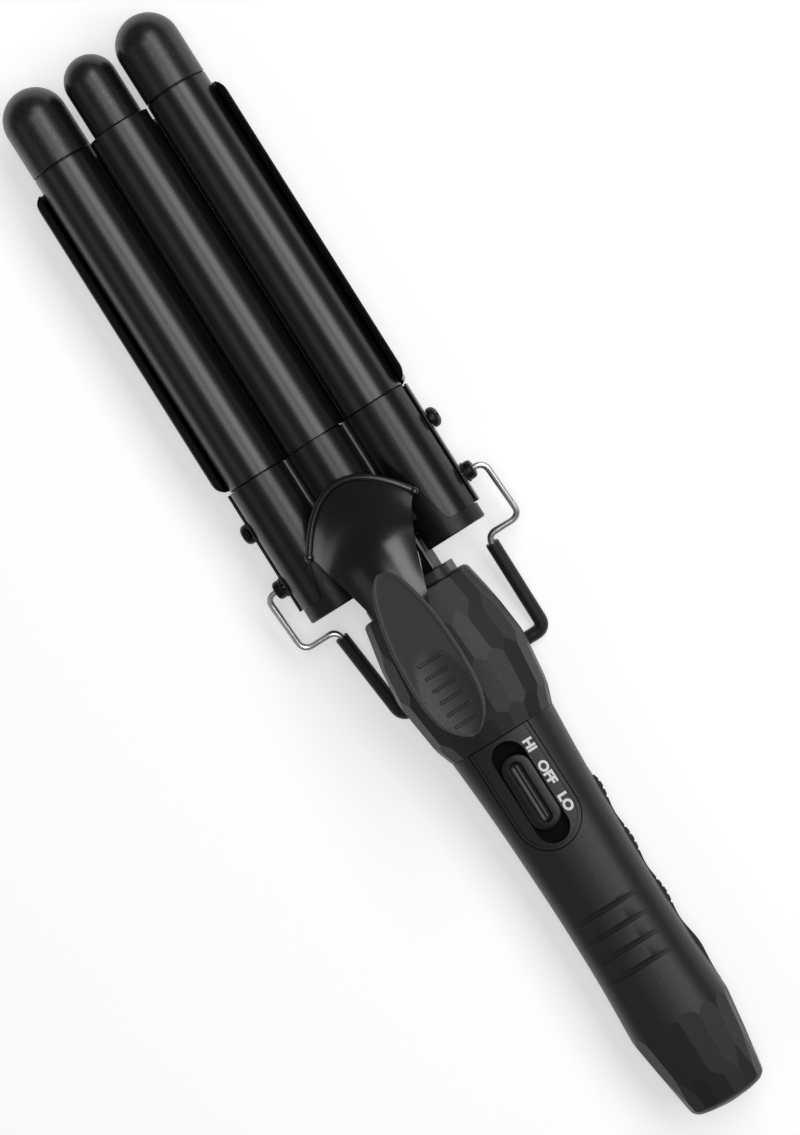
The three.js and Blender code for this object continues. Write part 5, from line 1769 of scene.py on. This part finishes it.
PLAIN_PIECES = (
    Plain("cord_bush", SOFT_TPE, edge=0.3),
    Plain("front_collar", MOULDED_ABS, edge=0.35),
    Plain("switch_body", FILLED_NYLON),
    Plain("control_board", LAMINATE, edge=0.1),
    Plain("pivot_pin", BARE_STEEL_AND_EDGE_HIGHLIGHT, edge=0.2),
    Plain("jaw_spring", PLATED_WIRE, edge=0.0, smooth=60.0),
    Plain("lead_live", LEAD_SILICONE, edge=0.0, smooth=80.0),
    Plain("lead_neutral", LEAD_SILICONE, edge=0.0, smooth=80.0),
    Plain("rear_cover", POLISHED_NYLON, edge=0.35, split=True),
    Plain("rear_frame", FILLED_NYLON, edge=0.2),
    Plain("heater_middle", ALUMINA),
    Plain("heater_carrier_middle_front", EXTRUDED_ALUMINIUM),
    Plain("heater_carrier_middle_rear", EXTRUDED_ALUMINIUM),
    Plain("heater_left", ALUMINA, Body.JAW),
    Plain("heater_right", ALUMINA, Body.JAW),
    Plain("heater_carrier_left_front", EXTRUDED_ALUMINIUM, Body.JAW),
    Plain("heater_carrier_left_rear", EXTRUDED_ALUMINIUM, Body.JAW),
    Plain("heater_carrier_right_front", EXTRUDED_ALUMINIUM, Body.JAW),
    Plain("heater_carrier_right_rear", EXTRUDED_ALUMINIUM, Body.JAW),
    Plain("lead_left", LEAD_SILICONE, Body.JAW, edge=0.0, smooth=60.0),
    Plain("lead_right", LEAD_SILICONE, Body.JAW, edge=0.0, smooth=60.0),
)


# Studio

WHITE = linear("ffffff")


@dataclass
class Studio:
    """The floor, the lights and the camera."""

    tilt: float = 10.0
    lean: float = 32.2
    distance: float = 1.2
    frame_height: float = 0.3178
    aim: Point = (0.0027, -0.0007, 0.017)
    floor_size: float = 6.0
    floor_colour: str = "e8e8e8"
    floor_glow: float = 0.47
    surround: float = 0.12
    sensor: float = 24.0
    lamps: tuple[tuple[str, Point, Pair, float], ...] = (
        ("key", (0.1, -0.66, 1.0), (1.5, 0.5), 8.0),
        ("fill", (-0.1, 0.9, 0.8), (1.3, 0.5), 0.7),
        ("top", (0.0, -0.2, 1.6), (1.0, 0.5), 4.5),
    )

    def floor(self) -> None:
        """A pale floor whose shadow stays, and which metal shows too."""
        blank = bmesh.new()
        bmesh.ops.create_grid(blank, x_segments=1, y_segments=1, size=self.floor_size / 2)
        data = bpy.data.meshes.new("floor")
        blank.to_mesh(data)
        blank.free()
        floor = bpy.data.objects.new("floor", data)
        bpy.context.scene.collection.objects.link(floor)
        material = bpy.data.materials.new("pale paper floor")
        material.use_nodes = True
        tree = material.node_tree
        tree.nodes.clear()
        rays = add_node(tree, "ShaderNodeLightPath")
        metal = add_node(
            tree, "ShaderNodeMath", {"operation": "MAXIMUM"},
            {0: rays.outputs["Is Glossy Ray"], 1: rays.outputs["Is Transmission Ray"]},
        )
        seen = add_node(
            tree, "ShaderNodeMath", {"operation": "MAXIMUM"},
            {0: rays.outputs["Is Camera Ray"], 1: metal.outputs[0]},
        )
        paper = add_node(tree, "ShaderNodeBsdfDiffuse", {"Color": linear(self.floor_colour)})
        glow = add_node(tree, "ShaderNodeEmission", {"Color": WHITE, "Strength": self.floor_glow})
        lifted = add_node(
            tree, "ShaderNodeAddShader", {}, {0: paper.outputs["BSDF"], 1: glow.outputs["Emission"]},
        )
        mix = add_node(
            tree, "ShaderNodeMixShader", {},
            {"Fac": seen.outputs[0], 1: paper.outputs["BSDF"], 2: lifted.outputs["Shader"]},
        )
        add_node(tree, "ShaderNodeOutputMaterial", {}, {"Surface": mix.outputs["Shader"]})
        data.materials.append(material)

    def world(self) -> None:
        """A dim even surround, white where the camera looks past the floor."""
        world = bpy.data.worlds.new("studio")
        bpy.context.scene.world = world
        world.use_nodes = True
        tree = world.node_tree
        tree.nodes.clear()
        rays = add_node(tree, "ShaderNodeLightPath")
        fill = add_node(tree, "ShaderNodeBackground", {"Color": WHITE, "Strength": self.surround})
        white = add_node(tree, "ShaderNodeBackground", {"Color": WHITE, "Strength": 1.0})
        share = rays.outputs["Is Camera Ray"]
        mix = add_node(
            tree, "ShaderNodeMixShader", {},
            {"Fac": share, 1: fill.outputs["Background"], 2: white.outputs["Background"]},
        )
        add_node(tree, "ShaderNodeOutputWorld", {}, {"Surface": mix.outputs["Shader"]})

    def softbox(self, name: str, place: Point, size: Pair, power: float) -> None:
        """A rectangular light that looks at the object.

        Args:
            name: The light's name.
            place: Where it hangs, in metres.
            size: Its two sides in metres, the first along the waver.
            power: Its power in watts.
        """
        data = bpy.data.lights.new(name, "AREA")
        data.shape = "RECTANGLE"
        data.size, data.size_y = size
        data.energy = power
        lamp = bpy.data.objects.new(name, data)
        bpy.context.scene.collection.objects.link(lamp)
        ahead = (Vector(self.aim) - Vector(place)).normalized()
        back = -ahead
        up = back.cross(Vector((1, 0, 0))).normalized()
        side = up.cross(back)
        turn = Matrix((side, up, back)).transposed().to_4x4()
        lamp.matrix_world = Matrix.Translation(place) @ turn

    def camera(self) -> None:
        """The camera, a little to the waver's right and turned so that the tips point to the upper left."""
        tilt, lean = math.radians(self.tilt), math.radians(self.lean)
        ahead = Vector((0, math.sin(tilt), -math.cos(tilt)))
        along = Vector((1, 0, 0))
        level = ahead.cross(along)
        right = math.cos(lean) * level - math.sin(lean) * along
        up = math.sin(lean) * level + math.cos(lean) * along
        data = bpy.data.cameras.new("camera")
        data.sensor_fit = "VERTICAL"
        data.sensor_height = self.sensor
        data.lens = self.sensor * self.distance / self.frame_height
        data.clip_end = 20.0
        camera = bpy.data.objects.new("camera", data)
        bpy.context.scene.collection.objects.link(camera)
        place = Vector(self.aim) - ahead * self.distance
        camera.matrix_world = Matrix.Translation(place) @ Matrix((right, up, -ahead)).transposed().to_4x4()
        bpy.context.scene.camera = camera

    def build(self) -> None:
        """Build the camera, the floor, the surround and the lights."""
        bpy.context.scene.view_settings.view_transform = "Standard"
        self.camera()
        self.floor()
        self.world()
        for name, place, size, power in self.lamps:
            self.softbox(name, place, size, power)


def main() -> None:
    """Build the studio and every piece in order."""
    logging.basicConfig(level=logging.INFO, format="%(message)s")
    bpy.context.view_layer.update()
    Studio().build()
    Barrels().build()
    Switch().plate(Handle().build())
    Switch().button()
    Switch().print_marks()
    JawCover().build()
    Lever().build()
    Stand().build()
    NeckBracket().build()
    for item in (*SCREWS, *PLAIN_PIECES):
        item.build()


if __name__ == "__main__":
    main()
